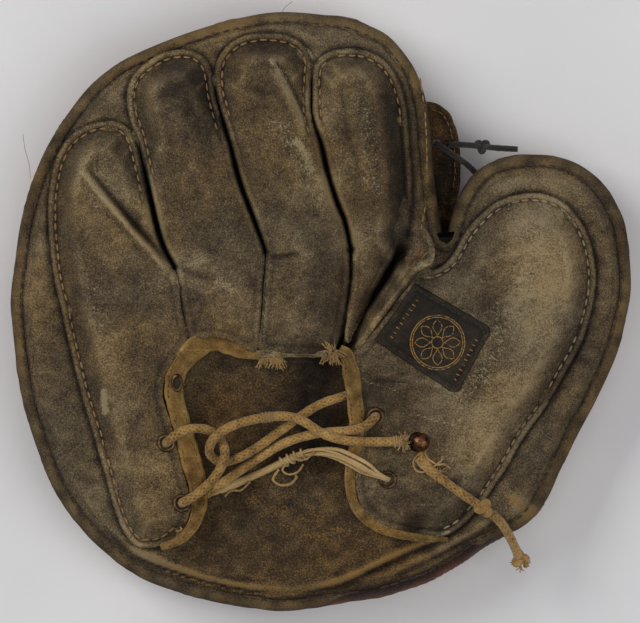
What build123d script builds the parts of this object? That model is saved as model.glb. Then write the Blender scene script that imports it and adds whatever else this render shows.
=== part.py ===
"""A pillow catcher's mitt of the early laced kind, lying palm down.

Frame: millimetres, +Z up, the floor at z = 0 under the palm, the fingers towards +Y and the thumb
towards +X.
The mitt is a thick padded pad (palm leather, padding, base leather) with finger stalls sewn on its
back. The pad creases along one line from the thumb crotch to the heel, and closes about it.
"""

import math
import os

from build123d import *

# Heights of the layers
AXIS_Z = 16.0  # the closing crease, in the middle of the padding
WIDEST_Z = 20.0
SEAM_Z = 32.0  # where the palm leather meets the base leather
LEATHER = 2.0
BASE_TOP = SEAM_Z + 2.4
GUSSET_TOP = 44.0  # the gusset lies lower than the panels beside it
FLAP_TOP = 47.0  # the back panels, over the hand
STALL_TOP = 54.0  # the finger stalls
FLAP_UNDER = FLAP_TOP - LEATHER
STRIP = 2.8  # thickness of the side binding strips
CENTRE_STRIP = 2.4  # thickness of the binding under the stalls
STRIP_UNDER = FLAP_TOP - STRIP
PANEL_GAP = 0.25  # each panel stands this far inside its outline
EDGE_FALL = 3.0  # a panel's upper edge is bevelled: this much down
EDGE_SET = 2.4  # and this much in
HOLE_FIT = 0.05  # play around a barrel or shank in its hole
FAR = 400.0  # beyond everything

# The rounded side of the pad, from the floor up: (inset from the outline, height), outside and inside
PAD_OUTSIDE = [(18, 0), (9, 3), (3, 9.5), (0, WIDEST_Z), (2.5, 27.5), (7, SEAM_Z)]
PAD_INSIDE = [(19, 2), (10.5, 4.8), (5, 10.4), (2.1, WIDEST_Z), (4.6, 27.2), (9.1, SEAM_Z)]
BASE_INSET = 7.0
WELT_INSET = 4.4

# The crease line, from the thumb crotch to the heel, and how far the mitt closes about it
CREASE_TOP = Vector(56, 34)
CREASE_HEEL = Vector(-5, -136)
CLOSING_DEG = 25.0
CREASE_GAP = 0.4

# The pocket is a shallow ball-shaped hollow in the palm
POCKET_CENTRE = (8, 6)
POCKET_RADIUS = 52.0
POCKET_DEPTH = 10.0

# Hardware and cords
EYELET_BORE_R = 2.4
EYELET_BARREL_R = 2.9
EYELET_FLANGE_R = 3.9
EYELET_FLANGE = 0.7
LOWER_FLANGE_R = 3.5
LACE_D = 4.2
THONG_D = 2.8
STUD_AT = (44, -58.5)
STUD_HEAD_R = 3.8
STUD_SHANK_R = 1.5
STUD_NECK = 4.6  # the head's height over the panel
STUD_RIM = 0.9
STUD_COLLAR_R = 3.2
STUD_COLLAR = 0.8
STUD_CROWN = 1.8
STUD_FOOT = 1.8  # how far the shank stands out under the panel
WASHER_R = 4.2
WASHER = 0.9

# Outlines seen from above, clockwise from the top. Each is a closed curve through its points.
MITT = [
    (-18, 136), (10, 133.5), (30, 125.5), (42.5, 110.5), (48.5, 92), (51, 65), (53.5, 42), (56, 34),
    (60, 48), (72, 64), (90, 71), (112, 69), (128, 58), (138, 39), (140.7, 12), (134, -20), (117, -55),
    (103, -84), (92, -98), (76, -106), (50, -123), (15, -132), (-15, -136), (-50, -131.5), (-84, -120),
    (-104, -104), (-122, -78), (-135, -42), (-140.7, 0), (-137, 38), (-124, 75), (-108, 100),
    (-84, 117),
    (-50, 130),
]
# Seams shared by two neighbouring panels, from the fingertips down; the panels are joined from these
LITTLE_RING_SEAM = [
    (-81.5, 75), (-77.8, 62.5), (-75.8, 49), (-73.4, 37), (-69.5, 26.5), (-65, 16), (-62.5, 2.5),
    (-60.5, -10),
]
RING_MIDDLE_SEAM = [
    (-46.8, 100), (-44, 87.5), (-40.8, 75), (-37.8, 62), (-32.9, 49), (-28, 36.8), (-25, 26),
    (-26.4, 10),
    (-27, -15.5),
]
MIDDLE_INDEX_SEAM = [
    (-3, 110), (-4, 98), (-3.1, 87.5), (0.5, 74.8), (4, 61.8), (7.5, 49.8), (11.2, 37.8), (13.7, 26.5),
    (14, 14),
]
LITTLE_FINGER_TIP = [(-124, 40), (-122.5, 58), (-118, 72), (-109, 82), (-97, 86), (-88, 83)]
LEFT_PANEL = LITTLE_FINGER_TIP + LITTLE_RING_SEAM + [
    (-66.5, -20), (-71, -29), (-71.6, -38), (-67.5, -50), (-63.5, -62), (-60, -74), (-58, -86),
    (-63, -98),
    (-74, -106.5), (-85, -105), (-93, -92), (-97.5, -76), (-103, -58), (-108.5, -38), (-113.5, -18),
    (-117.5, 0), (-121.5, 18),
]
LITTLE_FINGER = LITTLE_FINGER_TIP + LITTLE_RING_SEAM[:5] + [
    (-76, 14), (-90, 5), (-106, 4), (-118.5, 12),
]
RING_STALL = RING_MIDDLE_SEAM + [(-34, -14.5), (-44, -9), (-53, -9)] + LITTLE_RING_SEAM[::-1] + [
    (-86.5, 89), (-87.5, 99), (-80, 111), (-69, 117), (-58, 117.5), (-50, 111),
]
MIDDLE_STALL = MIDDLE_INDEX_SEAM + [
    (12, 0), (7, -12), (-2, -16.8), (-14, -16.8),
] + RING_MIDDLE_SEAM[::-1] + [
    (-45.5, 111), (-38, 121.5), (-25, 125.5), (-12, 122.5),
]
INDEX_STALL = [
    (0, 115.5), (11, 119), (21, 117), (30, 111), (36.5, 100), (39.5, 87), (40.5, 72), (40, 57),
    (36, 42),
    (32.5, 29), (27, 18),
] + MIDDLE_INDEX_SEAM[::-1]
CROTCH_GUSSET = [
    (39.5, 32), (43, 24), (41, 14), (33.5, 5.5), (25, -6), (17, -15.5), (13.5, -12), (20, -1), (29, 13),
    (35, 24.5),
]
THUMB_PANEL = [
    (90, 53.5), (101, 53), (110, 49), (117.5, 41), (122.5, 30), (124.5, 15), (122.5, 0), (117.5, -14),
    (110, -28), (101, -43), (92, -56), (83, -70), (74, -83), (66, -93), (56, -98.5), (45, -98),
    (33, -96), (22.5, -90.5), (17, -81), (16.6, -70), (18.6, -57), (20, -45), (18.8, -32),
    (18, -21), (25, -9), (33, 2), (41, 12), (50, 18.5), (57, 23), (62, 31), (69, 41), (79, 49.5),
]
WEB_TAB = [
    (47, 94.5), (53, 93.5), (58, 88), (61.5, 81), (63.2, 72), (63.4, 62), (61.5, 54), (57, 49),
    (46, 51),
    (44, 70), (43, 88),
]
# Binding strips lie along the edge of the wrist opening: (edge against the panel, free edge)
LEFT_BINDING = (
    [(-59.5, -14), (-65.8, -21.2), (-70.3, -28.4), (-70.9, -38), (-66.9, -50), (-62.9, -62),
     (-59.4, -74),
     (-56.9, -84), (-58.3, -93.6), (-64.4, -101.4)],
    [(-49, -18.5), (-56.5, -22.5), (-60, -30), (-60.5, -40), (-58, -50), (-54.5, -62), (-51, -74),
     (-49, -84), (-51, -94), (-60, -103.5)],
)
CENTRE_BINDING = (
    [(-58.5, -13.2), (-53, -11.4), (-46, -11), (-40, -13.5), (-33.5, -17.3), (-26, -18.2),
     (-14, -19), (3, -19.5)],
    [(-48, -18.4), (-44, -19.4), (-40, -20.4), (-36, -21.6), (-32, -22.4), (-26, -21.6),
     (-14, -21.8), (2, -22)],
)
RIGHT_BINDING = (
    [(16.5, -19.8), (18.2, -32), (19.6, -45), (18.6, -55), (17.2, -65), (15.8, -75), (16.8, -83.4),
     (20.6, -90.1), (28.2, -95.2), (38, -97.7), (47, -98.7)],
    [(10.5, -20.5), (11.5, -33), (13, -46), (13, -55), (12, -65), (11.5, -75), (12.6, -85.5),
     (17.5, -93.6), (26.5, -98.6), (37, -101), (47, -102.2)],
)

# Eyelets in the back panels, and one left empty in the left binding
LEFT_UPPER_EYELET = (-69.5, -59)
LEFT_LOWER_EYELET = (-62.5, -86)
SPARE_EYELET = (-65.4, -33)
RIGHT_UPPER_EYELET = (24.5, -47)
RIGHT_LOWER_EYELET = (30, -75.5)

# What is left open under the panels: the room over the knuckles, and the two mouths beside the wrist
KNUCKLE_SPACE = [(-78, 20), (-78, -6), (-58, -24), (11, -24), (14.2, -2), (26, 13), (26, 22)]
LEFT_MOUTH = [(-76, -18), (-45, -18), (-45, -96), (-68, -96), (-76, -84)]
RIGHT_MOUTH = [(5, -24), (32, -24), (32, -86), (5, -86)]

# The maker's patch, turned on the thumb panel
PATCH_CENTRE = (50.5, -11.5)
PATCH_SIZE = (43, 32)
PATCH_TURN = -33.0
PATCH_THICK = 1.0

# Routes of the lace: each stretch ends in an eyelet, under a flap or at the stud
LEFT_LOOP = [
    (-69.5, -59, 43.4), (-69.5, -59, 50.2), (-63.5, -53.8, 50.6), (-56.5, -52, 49.6),
    (-49.5, -53.2, 46.6),
    (-44.6, -57.6, 45.8), (-42.6, -63.5, 49.6), (-44.6, -70, 51.4), (-49.5, -76.5, 50.2),
    (-55, -81.5, 49.9),
    (-62.5, -86, 50.4), (-62.5, -86, 43.4),
]
UPPER_RUN = [
    (17, -36, 41.2), (9, -38.4, 41.4), (-1, -41.6, 42.6), (-10, -47.6, 44), (-19, -54, 44.6),
    (-29, -61.4, 44.8),
    (-38, -66.5, 45), (-45.5, -68, 45.2), (-50.6, -64, 46.8), (-49.6, -58.5, 50), (-45, -53.6, 51.8),
    (-37, -49.9, 51), (-27, -47.6, 50.2), (-15, -46.4, 49.8), (-7, -49.4, 50), (0, -54.6, 51),
    (9, -57.8, 50.6), (22, -58.6, 50), (37.4, -58.2, 49.8),
]
CROSS_RUN = [
    (24.5, -47, 43.4), (24.5, -47, 50.2), (19.4, -52.2, 50.4), (11, -53.6, 49.2), (1, -54.2, 45.8),
    (-9, -56.2, 45), (-18, -59.6, 43.8), (-27, -65, 42.6), (-35, -70.4, 41.8), (-43, -76.4, 41.4),
    (-52, -82.4, 41.2),
]
FRAYED_RUN = [
    (30, -75.5, 43.4), (30, -75.5, 50.2), (23, -72.2, 50.4), (14, -67.2, 50), (6, -63.8, 47.2),
    (-4, -62.9, 42.6), (-14, -66, 39.4), (-24, -71.2, 37.4), (-35, -76, 36.9), (-45, -80, 36.8),
    (-54, -84.4, 36.8),
]
TAIL = [
    (44, -65, 49.7), (49, -71, 49.6), (56, -76.6, 49.6), (64, -82.4, 50.2), (73.6, -88.6, 50.4),
    (79.6, -93.2, 46.4),
    (83.6, -98.8, 40.6), (86.8, -105, 34.2), (89.4, -110.6, 27.4),
]
TAIL_KNOT = (72.8, -88.1, 50.5)
TAIL_KNOT_R = 4.3
END_KNOT = (90, -111.8, 26.4)
END_KNOT_R = 3.5

# The dark thong that ties the web tab to the thumb
TAB_LOW, TAB_HIGH = 11.0, 13.2
TAB_HOLE = (52.6, 76.5)
TAB_HOLE_R = 2.1
THONG = [
    (52.6, 76.5, 8.6), (52.6, 76.5, 16.4), (57.4, 73.2, 16.2), (63, 69.4, 15), (68.6, 65.4, 12.8),
    (71.9, 61.4, 11.2),
]
THONG_TAIL = [
    (58, 76, 14.7), (64, 76, 15), (70, 75.4, 17), (76, 74.6, 20.4), (82, 74, 22.6), (89, 73.6, 24),
]
THONG_KNOT = (73.1, 75.2, 18.9)
THONG_KNOT_R = 3.2


def inset(points, distance):
    """The outline's corners moved inwards so that every side moves by a distance."""
    turn = sum(x0 * y1 - x1 * y0 for (x0, y0), (x1, y1) in zip(points, points[1:] + points[:1]))
    inward = 1 if turn > 0 else -1
    moved = []
    for before, point, after in zip(points[-1:] + points[:-1], points, points[1:] + points[:1]):
        into = Vector(point[0] - before[0], point[1] - before[1]).normalized()
        out = Vector(after[0] - point[0], after[1] - point[1]).normalized()
        reach = distance * inward / (1 + into.dot(out))
        moved.append((point[0] - reach * (into.Y + out.Y), point[1] + reach * (into.X + out.X)))
    return moved


def outline_face(points, distance=0.0, z=0.0):
    """The face inside a closed outline."""
    return Pos(0, 0, z) * make_face(Polyline(*inset(points, distance), close=True))


def stacked(points, sections):
    """A closed solid through insets of one outline: sections are (inset, z), from the lowest up."""
    return loft([outline_face(points, distance, z) for distance, z in sections], ruled=True)


def slab(points, low, high, distance=0.0):
    return extrude(outline_face(points, distance, low), high - low)


def prism(corners, low, high):
    """A straight block over a polygon."""
    return Pos(0, 0, low) * extrude(make_face(Polyline(*corners, close=True)), high - low)


def cylinder(at, radius, low, high):
    return Pos(at[0], at[1], low) * extrude(Circle(radius), high - low)


def pocket(extra=0.0):
    """The ball that hollows the palm; extra leaves room for the leather above it."""
    ball = (POCKET_RADIUS**2 + POCKET_DEPTH**2) / (2 * POCKET_DEPTH)
    return Pos(*POCKET_CENTRE, POCKET_DEPTH - ball) * Sphere(ball + extra)


def crease_cut(side):
    """What is cut away from a pad so that it keeps one side of the crease, with the room to close."""
    along = (CREASE_HEEL - CREASE_TOP).normalized()
    across = Vector(-along.Y, along.X)  # towards the thumb
    below = -2.0
    if side == "finger":
        profile = [(-0.1, below), (FAR, below), (FAR, FAR), (-0.1, FAR)]
    else:
        opened = CREASE_GAP + (AXIS_Z - below) * math.tan(math.radians(CLOSING_DEG + 1))
        profile = [(opened, below), (CREASE_GAP, AXIS_Z), (CREASE_GAP, FAR), (-FAR, FAR), (-FAR, below)]
    plane = Plane(origin=CREASE_TOP - along * FAR / 2, x_dir=across, z_dir=along)
    section = plane * make_face(Polyline(*profile, close=True))
    return extrude(section, 2 * FAR, dir=along)


def pad_halves(solid):
    """The two sides of a pad, without the slivers that the cut leaves at its ends."""
    halves = {side: (solid - crease_cut(side)).solids() for side in ("finger", "thumb")}
    return {side: max(pieces, key=lambda piece: piece.volume) for side, pieces in halves.items()}


def back_cover(points, top):
    """The outer form of a stall or panel, standing on the base leather."""
    bevel = [(PANEL_GAP, top - EDGE_FALL), (PANEL_GAP + EDGE_SET, top)]
    return stacked(points, [(PANEL_GAP, BASE_TOP)] + bevel)


def back_hollow(points, top):
    """The room inside a stall or panel."""
    wall = PANEL_GAP + LEATHER
    ceiling = top - LEATHER
    return stacked(points, [(wall, BASE_TOP - 0.5), (wall, ceiling - 2.6), (wall + 2, ceiling)])


def back_shell(points, top):
    """A leather cover with an open underside: walls down to the base leather and a flat top."""
    return back_cover(points, top) - back_hollow(points, top)


def strip(edges, low, high):
    """A binding strip between two edges."""
    outer, inner = edges
    border = Spline(outer) + Line(outer[-1], inner[-1]) + Spline(inner[::-1]) + Line(inner[0], outer[0])
    return Pos(0, 0, low) * extrude(make_face(border), high - low)


def eyelet(at, under, top):
    """A rolled metal ring: a barrel through the leather with a flange on each face."""
    barrel = cylinder(at, EYELET_BARREL_R, under - EYELET_FLANGE, top + EYELET_FLANGE)
    upper = cylinder(at, EYELET_FLANGE_R, top, top + EYELET_FLANGE)
    lower = cylinder(at, LOWER_FLANGE_R, under - EYELET_FLANGE, under)
    bore = cylinder(at, EYELET_BORE_R, under - 2, top + 2)
    return barrel + upper + lower - bore


def eyelet_hole(at, under, top):
    return cylinder(at, EYELET_BARREL_R + HOLE_FIT, under - 1, top + 1)


def stud_hole():
    return cylinder(STUD_AT, STUD_SHANK_R + HOLE_FIT, 0, FAR)


def tube_path(points):
    """Straight runs joined by tangent arcs, each as large as its two runs allow."""
    radii = []
    for before, corner, after in zip(points, points[1:], points[2:]):
        into = Vector(*corner) - Vector(*before)
        out = Vector(*after) - Vector(*corner)
        turn = math.radians(into.get_angle(out))
        radii.append(0.45 * min(into.length, out.length) / math.tan(turn / 2))
    return FilletPolyline(*points, radius=radii), radii


def tube(name, points, diameter):
    path, radii = tube_path(points)
    section = Plane(origin=path @ 0, z_dir=path % 0) * Circle(diameter / 2)
    made = sweep(section, path)
    share = made.volume / (math.pi * diameter**2 / 4 * path.length)
    print(f"{name}: {path.length:.1f} mm, smallest bend {min(radii):.1f} mm, volume share {share:.3f}")
    return made


def knot(at, radius, cord):
    return Pos(*at) * Sphere(radius) - cord


def lace_stud():
    """The round-headed stud that the lace is wound on: shank, collar and head."""
    head_z = FLAP_TOP + STUD_NECK
    shank = cylinder(STUD_AT, STUD_SHANK_R, FLAP_UNDER - STUD_FOOT, head_z + STUD_RIM / 2)
    collar = cylinder(STUD_AT, STUD_COLLAR_R, FLAP_TOP, FLAP_TOP + STUD_COLLAR)
    rim = cylinder(STUD_AT, STUD_HEAD_R, head_z, head_z + STUD_RIM)
    crown = Cone(STUD_HEAD_R, STUD_HEAD_R / 2, STUD_CROWN)
    return shank + collar + rim + Pos(*STUD_AT, head_z + STUD_RIM + STUD_CROWN / 2) * crown


def pad_form():
    """The outer form of the palm, without its pocket."""
    return stacked(MITT, PAD_OUTSIDE)


def pad_parts():
    """Palm leather, padding, base leather and edge welt, each cut at the crease."""
    core = stacked(MITT, PAD_INSIDE) - pocket(LEATHER)
    base = slab(MITT, SEAM_Z, BASE_TOP, BASE_INSET)
    layers = {
        "palm_leather": pad_form() - pocket() - core,
        "padding": core,
        "base_leather": base,
        "edge_welt": slab(MITT, SEAM_Z, BASE_TOP, WELT_INSET) - base,
    }
    made = {}
    for name, solid in layers.items():
        for side, half in pad_halves(solid).items():
            made[f"{name}_{side}_side"] = half
    return made


def back_parts():
    """The stalls and panels that are sewn to the base leather, open where the hand goes in."""
    knuckles = prism(KNUCKLE_SPACE, BASE_TOP, FLAP_UNDER)
    left = back_cover(LEFT_PANEL, FLAP_TOP) + back_cover(LITTLE_FINGER, STALL_TOP)
    left = left - back_hollow(LITTLE_FINGER, STALL_TOP) - back_hollow(LEFT_PANEL, FLAP_TOP)
    left = left - prism(LEFT_MOUTH, BASE_TOP, FLAP_UNDER) - knuckles
    for at in (LEFT_UPPER_EYELET, LEFT_LOWER_EYELET):
        left = left - eyelet_hole(at, FLAP_UNDER, FLAP_TOP)
    thumb = back_shell(THUMB_PANEL, FLAP_TOP) - prism(RIGHT_MOUTH, BASE_TOP, FLAP_UNDER)
    for at in (RIGHT_UPPER_EYELET, RIGHT_LOWER_EYELET):
        thumb = thumb - eyelet_hole(at, FLAP_UNDER, FLAP_TOP)
    stalls = {"ring": RING_STALL, "middle": MIDDLE_STALL, "index": INDEX_STALL}
    made = {}
    for name, points in stalls.items():
        made[f"{name}_finger_stall"] = back_shell(points, STALL_TOP) - knuckles
    gusset_side = [(PANEL_GAP, BASE_TOP), (PANEL_GAP, GUSSET_TOP - EDGE_FALL), (2, GUSSET_TOP)]
    return made | {
        "left_back_panel": left,
        "thumb_back_panel": thumb - stud_hole(),
        "crotch_gusset": stacked(CROTCH_GUSSET, gusset_side),
    }


def trim_parts():
    """Bindings, eyelets, patch, stud and web tab."""
    left = strip(LEFT_BINDING, STRIP_UNDER, FLAP_TOP) - eyelet_hole(SPARE_EYELET, STRIP_UNDER, FLAP_TOP)
    for at in (LEFT_UPPER_EYELET, LEFT_LOWER_EYELET):
        left = left - cylinder(at, EYELET_FLANGE_R + 0.2, 0, FAR)
    patch = Rot(0, 0, PATCH_TURN) * extrude(Rectangle(*PATCH_SIZE), PATCH_THICK)
    tab = slab(WEB_TAB, TAB_LOW, TAB_HIGH) - cylinder(TAB_HOLE, TAB_HOLE_R, 0, FAR) - pad_form()
    return {
        "left_binding": left,
        "centre_binding": strip(CENTRE_BINDING, FLAP_UNDER, FLAP_UNDER + CENTRE_STRIP),
        "right_binding": strip(RIGHT_BINDING, STRIP_UNDER, FLAP_TOP),
        "left_upper_eyelet": eyelet(LEFT_UPPER_EYELET, FLAP_UNDER, FLAP_TOP),
        "left_lower_eyelet": eyelet(LEFT_LOWER_EYELET, FLAP_UNDER, FLAP_TOP),
        "spare_eyelet": eyelet(SPARE_EYELET, STRIP_UNDER, FLAP_TOP),
        "right_upper_eyelet": eyelet(RIGHT_UPPER_EYELET, FLAP_UNDER, FLAP_TOP),
        "right_lower_eyelet": eyelet(RIGHT_LOWER_EYELET, FLAP_UNDER, FLAP_TOP),
        "maker_patch": Pos(*PATCH_CENTRE, FLAP_TOP) * patch,
        "lace_stud": lace_stud(),
        "stud_washer": cylinder(STUD_AT, WASHER_R, FLAP_UNDER - WASHER, FLAP_UNDER) - stud_hole(),
        "web_tab": tab,
    }


def cord_parts():
    """The lace in its visible stretches, its loose tail with two knots, and the dark web thong."""
    tail = tube("lace_tail", TAIL, LACE_D)
    return {
        "lace_left_loop": tube("lace_left_loop", LEFT_LOOP, LACE_D),
        "lace_upper_run": tube("lace_upper_run", UPPER_RUN, LACE_D),
        "lace_cross_run": tube("lace_cross_run", CROSS_RUN, LACE_D),
        "lace_frayed_run": tube("lace_frayed_run", FRAYED_RUN, LACE_D),
        "lace_tail": tail,
        "lace_tail_knot": knot(TAIL_KNOT, TAIL_KNOT_R, tail),
        "lace_end_knot": knot(END_KNOT, END_KNOT_R, tail),
        "web_thong": tube("web_thong", THONG, THONG_D),
        "web_thong_tail": tube("web_thong_tail", THONG_TAIL, THONG_D),
        "web_thong_knot": Pos(*THONG_KNOT) * Sphere(THONG_KNOT_R),
    }


def main():
    os.makedirs("parts", exist_ok=True)
    nodes = {}
    for made in (pad_parts, back_parts, trim_parts, cord_parts):
        nodes.update(made())
    for name, shape in nodes.items():
        export_step(shape, f"parts/{name}.step")
        print(name, len(shape.solids()), "solid", round(shape.volume), "mm3")
    print(len(nodes), "nodes")


main()
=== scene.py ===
"""The looks of a laced catcher's mitt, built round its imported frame.

Lengths in this script are millimetres until a mesh is made; MM turns them into metres.
"""

import math

import bmesh
import bpy
import numpy as np
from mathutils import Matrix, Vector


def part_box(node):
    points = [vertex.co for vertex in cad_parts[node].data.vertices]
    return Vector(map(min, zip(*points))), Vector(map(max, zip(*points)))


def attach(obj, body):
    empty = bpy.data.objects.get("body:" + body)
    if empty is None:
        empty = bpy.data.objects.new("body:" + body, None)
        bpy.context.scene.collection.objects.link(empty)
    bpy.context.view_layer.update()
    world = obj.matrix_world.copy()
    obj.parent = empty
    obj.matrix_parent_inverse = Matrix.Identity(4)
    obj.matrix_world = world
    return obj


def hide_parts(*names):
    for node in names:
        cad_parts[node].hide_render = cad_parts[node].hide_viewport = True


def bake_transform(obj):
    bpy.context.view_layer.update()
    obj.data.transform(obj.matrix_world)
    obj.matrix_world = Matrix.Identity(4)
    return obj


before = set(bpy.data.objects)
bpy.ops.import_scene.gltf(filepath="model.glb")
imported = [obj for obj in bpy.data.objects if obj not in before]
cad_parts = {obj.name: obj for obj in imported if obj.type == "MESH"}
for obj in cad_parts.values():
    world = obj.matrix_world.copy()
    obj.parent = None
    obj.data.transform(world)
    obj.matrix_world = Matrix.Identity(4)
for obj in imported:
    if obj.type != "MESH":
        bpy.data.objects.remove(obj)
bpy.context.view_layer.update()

MM = 0.001
TURN = 2 * math.pi

# ------------------------------------------------------------------ heights
SEAM_D = 5.6        # how far inside the outline the seam between palm and back lies
LINING_Z = 32.6     # the back leather at that seam and in the opening
RING_Z = 38.2       # the padded ring where the panels are sewn to it
FLAP_Z = 46.4       # the panels between their ridges and folds
LEATHER = 1.7       # thickness
STITCH_INSET = 3.4  # from a sewn edge to the stitches that hold it

# ------------------------------------------------------------------ outlines, clockwise from the top
MITT = [
    (-18, 136), (10, 133.5), (20, 130.5), (30, 125.5), (38, 117), (44, 107), (48.5, 92), (51, 65),
    (54, 42), (56.5, 33), (60, 47), (66, 58), (72, 64.5), (80, 69), (90, 71), (102, 71.2), (112, 69),
    (120, 65), (128, 58), (134, 49), (138.5, 37), (140.7, 12), (138, -5), (134, -20), (125, -40),
    (117, -55), (109, -71), (102, -86), (92, -97.5), (76, -106.5), (65, -113.5), (50, -122.5),
    (32, -128.5), (15, -132), (-15, -136), (-32, -134.5), (-50, -131.5), (-75, -124), (-88, -117),
    (-104, -104), (-116, -89), (-124, -75), (-135, -42), (-140.7, 0), (-139, 22), (-136, 42), (-130, 62),
    (-122, 79), (-108, 99), (-96, 110), (-84, 117), (-62, 126), (-40, 132.5),
]
LEFT_PANEL = [
    (-97, 86), (-88, 84), (-83, 76), (-79.5, 62), (-76.5, 50), (-74, 38), (-70, 27), (-66, 20), (-64, 12),
    (-62.2, 0), (-59.5, -12), (-64, -19), (-69.5, -28), (-71, -38), (-67.5, -50), (-64.5, -62),
    (-61, -75), (-58.5, -86), (-61.5, -97), (-69, -104), (-77, -106.5), (-85, -104.5), (-92, -93),
    (-97, -76), (-102, -58), (-108, -38), (-113, -18), (-117, 0), (-121, 18), (-123, 40), (-122, 58),
    (-118, 72), (-109.5, 82),
]
RING_STALL = [
    (-60, 118), (-53, 115), (-49, 108), (-48, 100), (-45, 88), (-41, 75), (-38, 62), (-33, 48),
    (-28.5, 36.5), (-25.2, 26), (-26.2, 12), (-27, -2), (-28, -17), (-34, -16.5), (-41, -13),
    (-48, -11.5), (-55, -12), (-59.3, -11.5), (-61.8, 1), (-63.7, 12), (-65.6, 20), (-69.6, 27.4),
    (-73.6, 38.4), (-76.1, 50.2), (-79.1, 62.4), (-82.6, 77), (-87, 90), (-87.5, 99), (-85, 106),
    (-79, 112), (-70, 117),
]
MIDDLE_STALL = [
    (-25, 125.5), (-15, 124.5), (-8, 120.5), (-3.6, 113), (-4.4, 104), (-4.2, 88), (-0.2, 75), (2.8, 62),
    (6.6, 50), (10.6, 40), (13, 28), (13, 15), (11, 0), (8, -13), (4, -18.5), (-8, -18.8), (-18, -18.2),
    (-27.6, -17.2), (-26.6, -2), (-25.8, 12), (-24.8, 26), (-28.1, 36.8), (-32.6, 48.3), (-37.6, 62.3),
    (-40.6, 75.3), (-44.6, 88.2), (-47.6, 100), (-48, 108), (-46, 115), (-41, 121), (-34, 124.5),
]
INDEX_STALL = [
    (11, 118.6), (21, 117.6), (30, 112), (35.5, 103), (38.5, 91), (40, 75), (41, 60), (41.2, 45),
    (40, 34), (36, 30), (31, 21), (25.6, 11), (20, 0.6), (15, -9), (11.8, -14.4), (11.6, 0), (13.4, 15),
    (13.4, 28), (11, 40), (7, 50), (3.2, 62), (0.2, 75), (-3.8, 88), (-4, 104), (-3.2, 111), (2, 116.5),
]
CROTCH_GUSSET = [
    (40.5, 40), (46, 38), (51, 30), (50, 22.4), (44, 18), (38, 10.4), (27, -3.6), (18, -15.6),
    (12, -19.4), (10.6, -15), (17, -4), (26, 9), (32.5, 20), (36.5, 31),
]
THUMB_PANEL = [
    (91, 53.3), (101, 53), (110, 49), (117, 41), (122, 30), (124, 15), (122, 0), (117, -15), (110, -28),
    (102, -42), (92, -56), (84, -70), (76, -82), (70, -90), (63, -97), (55, -101.5), (45, -101),
    (34, -98.5), (25, -94.5), (18.5, -88), (15.5, -79), (15.3, -70), (17.5, -58), (18, -50), (16.5, -40),
    (14.5, -30), (14, -19.5), (18.5, -15.5), (27.5, -3.5), (38.4, 10.4), (44.4, 18), (50, 19), (56, 22),
    (60, 27), (65, 36), (72, 44), (80, 50),
]

# The sewn edge round the back panels: the panels fall to the back leather along it
SEWN_EDGE = [
    (-66, -105), (-77, -107), (-85, -105), *LEFT_PANEL[22:], *LEFT_PANEL[:2], (-84, 78), *RING_STALL[26:],
    *RING_STALL[:2], (-48.5, 108), *MIDDLE_STALL[28:], *MIDDLE_STALL[:3], (-3.6, 112), *INDEX_STALL[25:],
    *INDEX_STALL[:7], (41, 45), (39, 34),
]
THUMB_SEWN_EDGE = THUMB_PANEL[31:] + THUMB_PANEL[:17]

# ------------------------------------------------------------------ relief of the back
# Finger ridges: points, height over the flaps, half width
FINGERS = [
    ([(-104, 66), (-98, 40), (-94, 10), (-90, -20)], 4.6, 15),
    ([(-67, 102), (-60, 74), (-52, 46), (-46, 20), (-44, -4)], 7.2, 12.5),
    ([(-25, 109), (-20, 84), (-13, 56), (-7, 28), (-8, -4)], 7.8, 13.5),
    ([(16, 104), (20, 80), (23, 56), (24, 34)], 6.4, 12.5),
    ([(98, 34), (96, 10), (84, -20), (62, -54)], 2.6, 26),
]
# Valleys between the panels: points, depth at each point, width of the V
VALLEYS = [
    ([(-84, 80), (-80.5, 70), (-77.8, 58), (-75.3, 44), (-71.5, 30), (-66, 20)],
     [1.5, 4, 9, 13, 12, 7], 1.5),
    ([(-66, 20), (-63, 5), (-59.5, -12)], [3.2, 1.7, 1.4], 1.5),
    ([(-48.4, 108), (-47, 96), (-43, 82), (-39.5, 69), (-35.5, 55), (-30.5, 42), (-25, 27)],
     [1.5, 2.5, 6, 9, 10, 9, 5], 1.35),
    ([(-25, 27), (-26, 12), (-27, -3), (-28, -17)], [1.8, 1.2, 1.2, 1.2], 1.2),
    ([(-3.8, 112), (-4.1, 100), (-4, 88), (0, 75), (3, 62), (6.8, 50), (10.8, 40), (13.2, 28)],
     [1.5, 2, 3.5, 8, 12, 13, 13, 9], 1.7),
    ([(13.2, 28), (13.2, 15), (11.3, 0), (8, -13)], [6, 4.5, 3, 2], 1.7),
    ([(39, 40), (35.4, 28), (29.6, 17), (22.4, 5.4), (16, -6), (11.6, -15)], [7, 13, 15, 14, 10, 5], 5.2),
]
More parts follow.
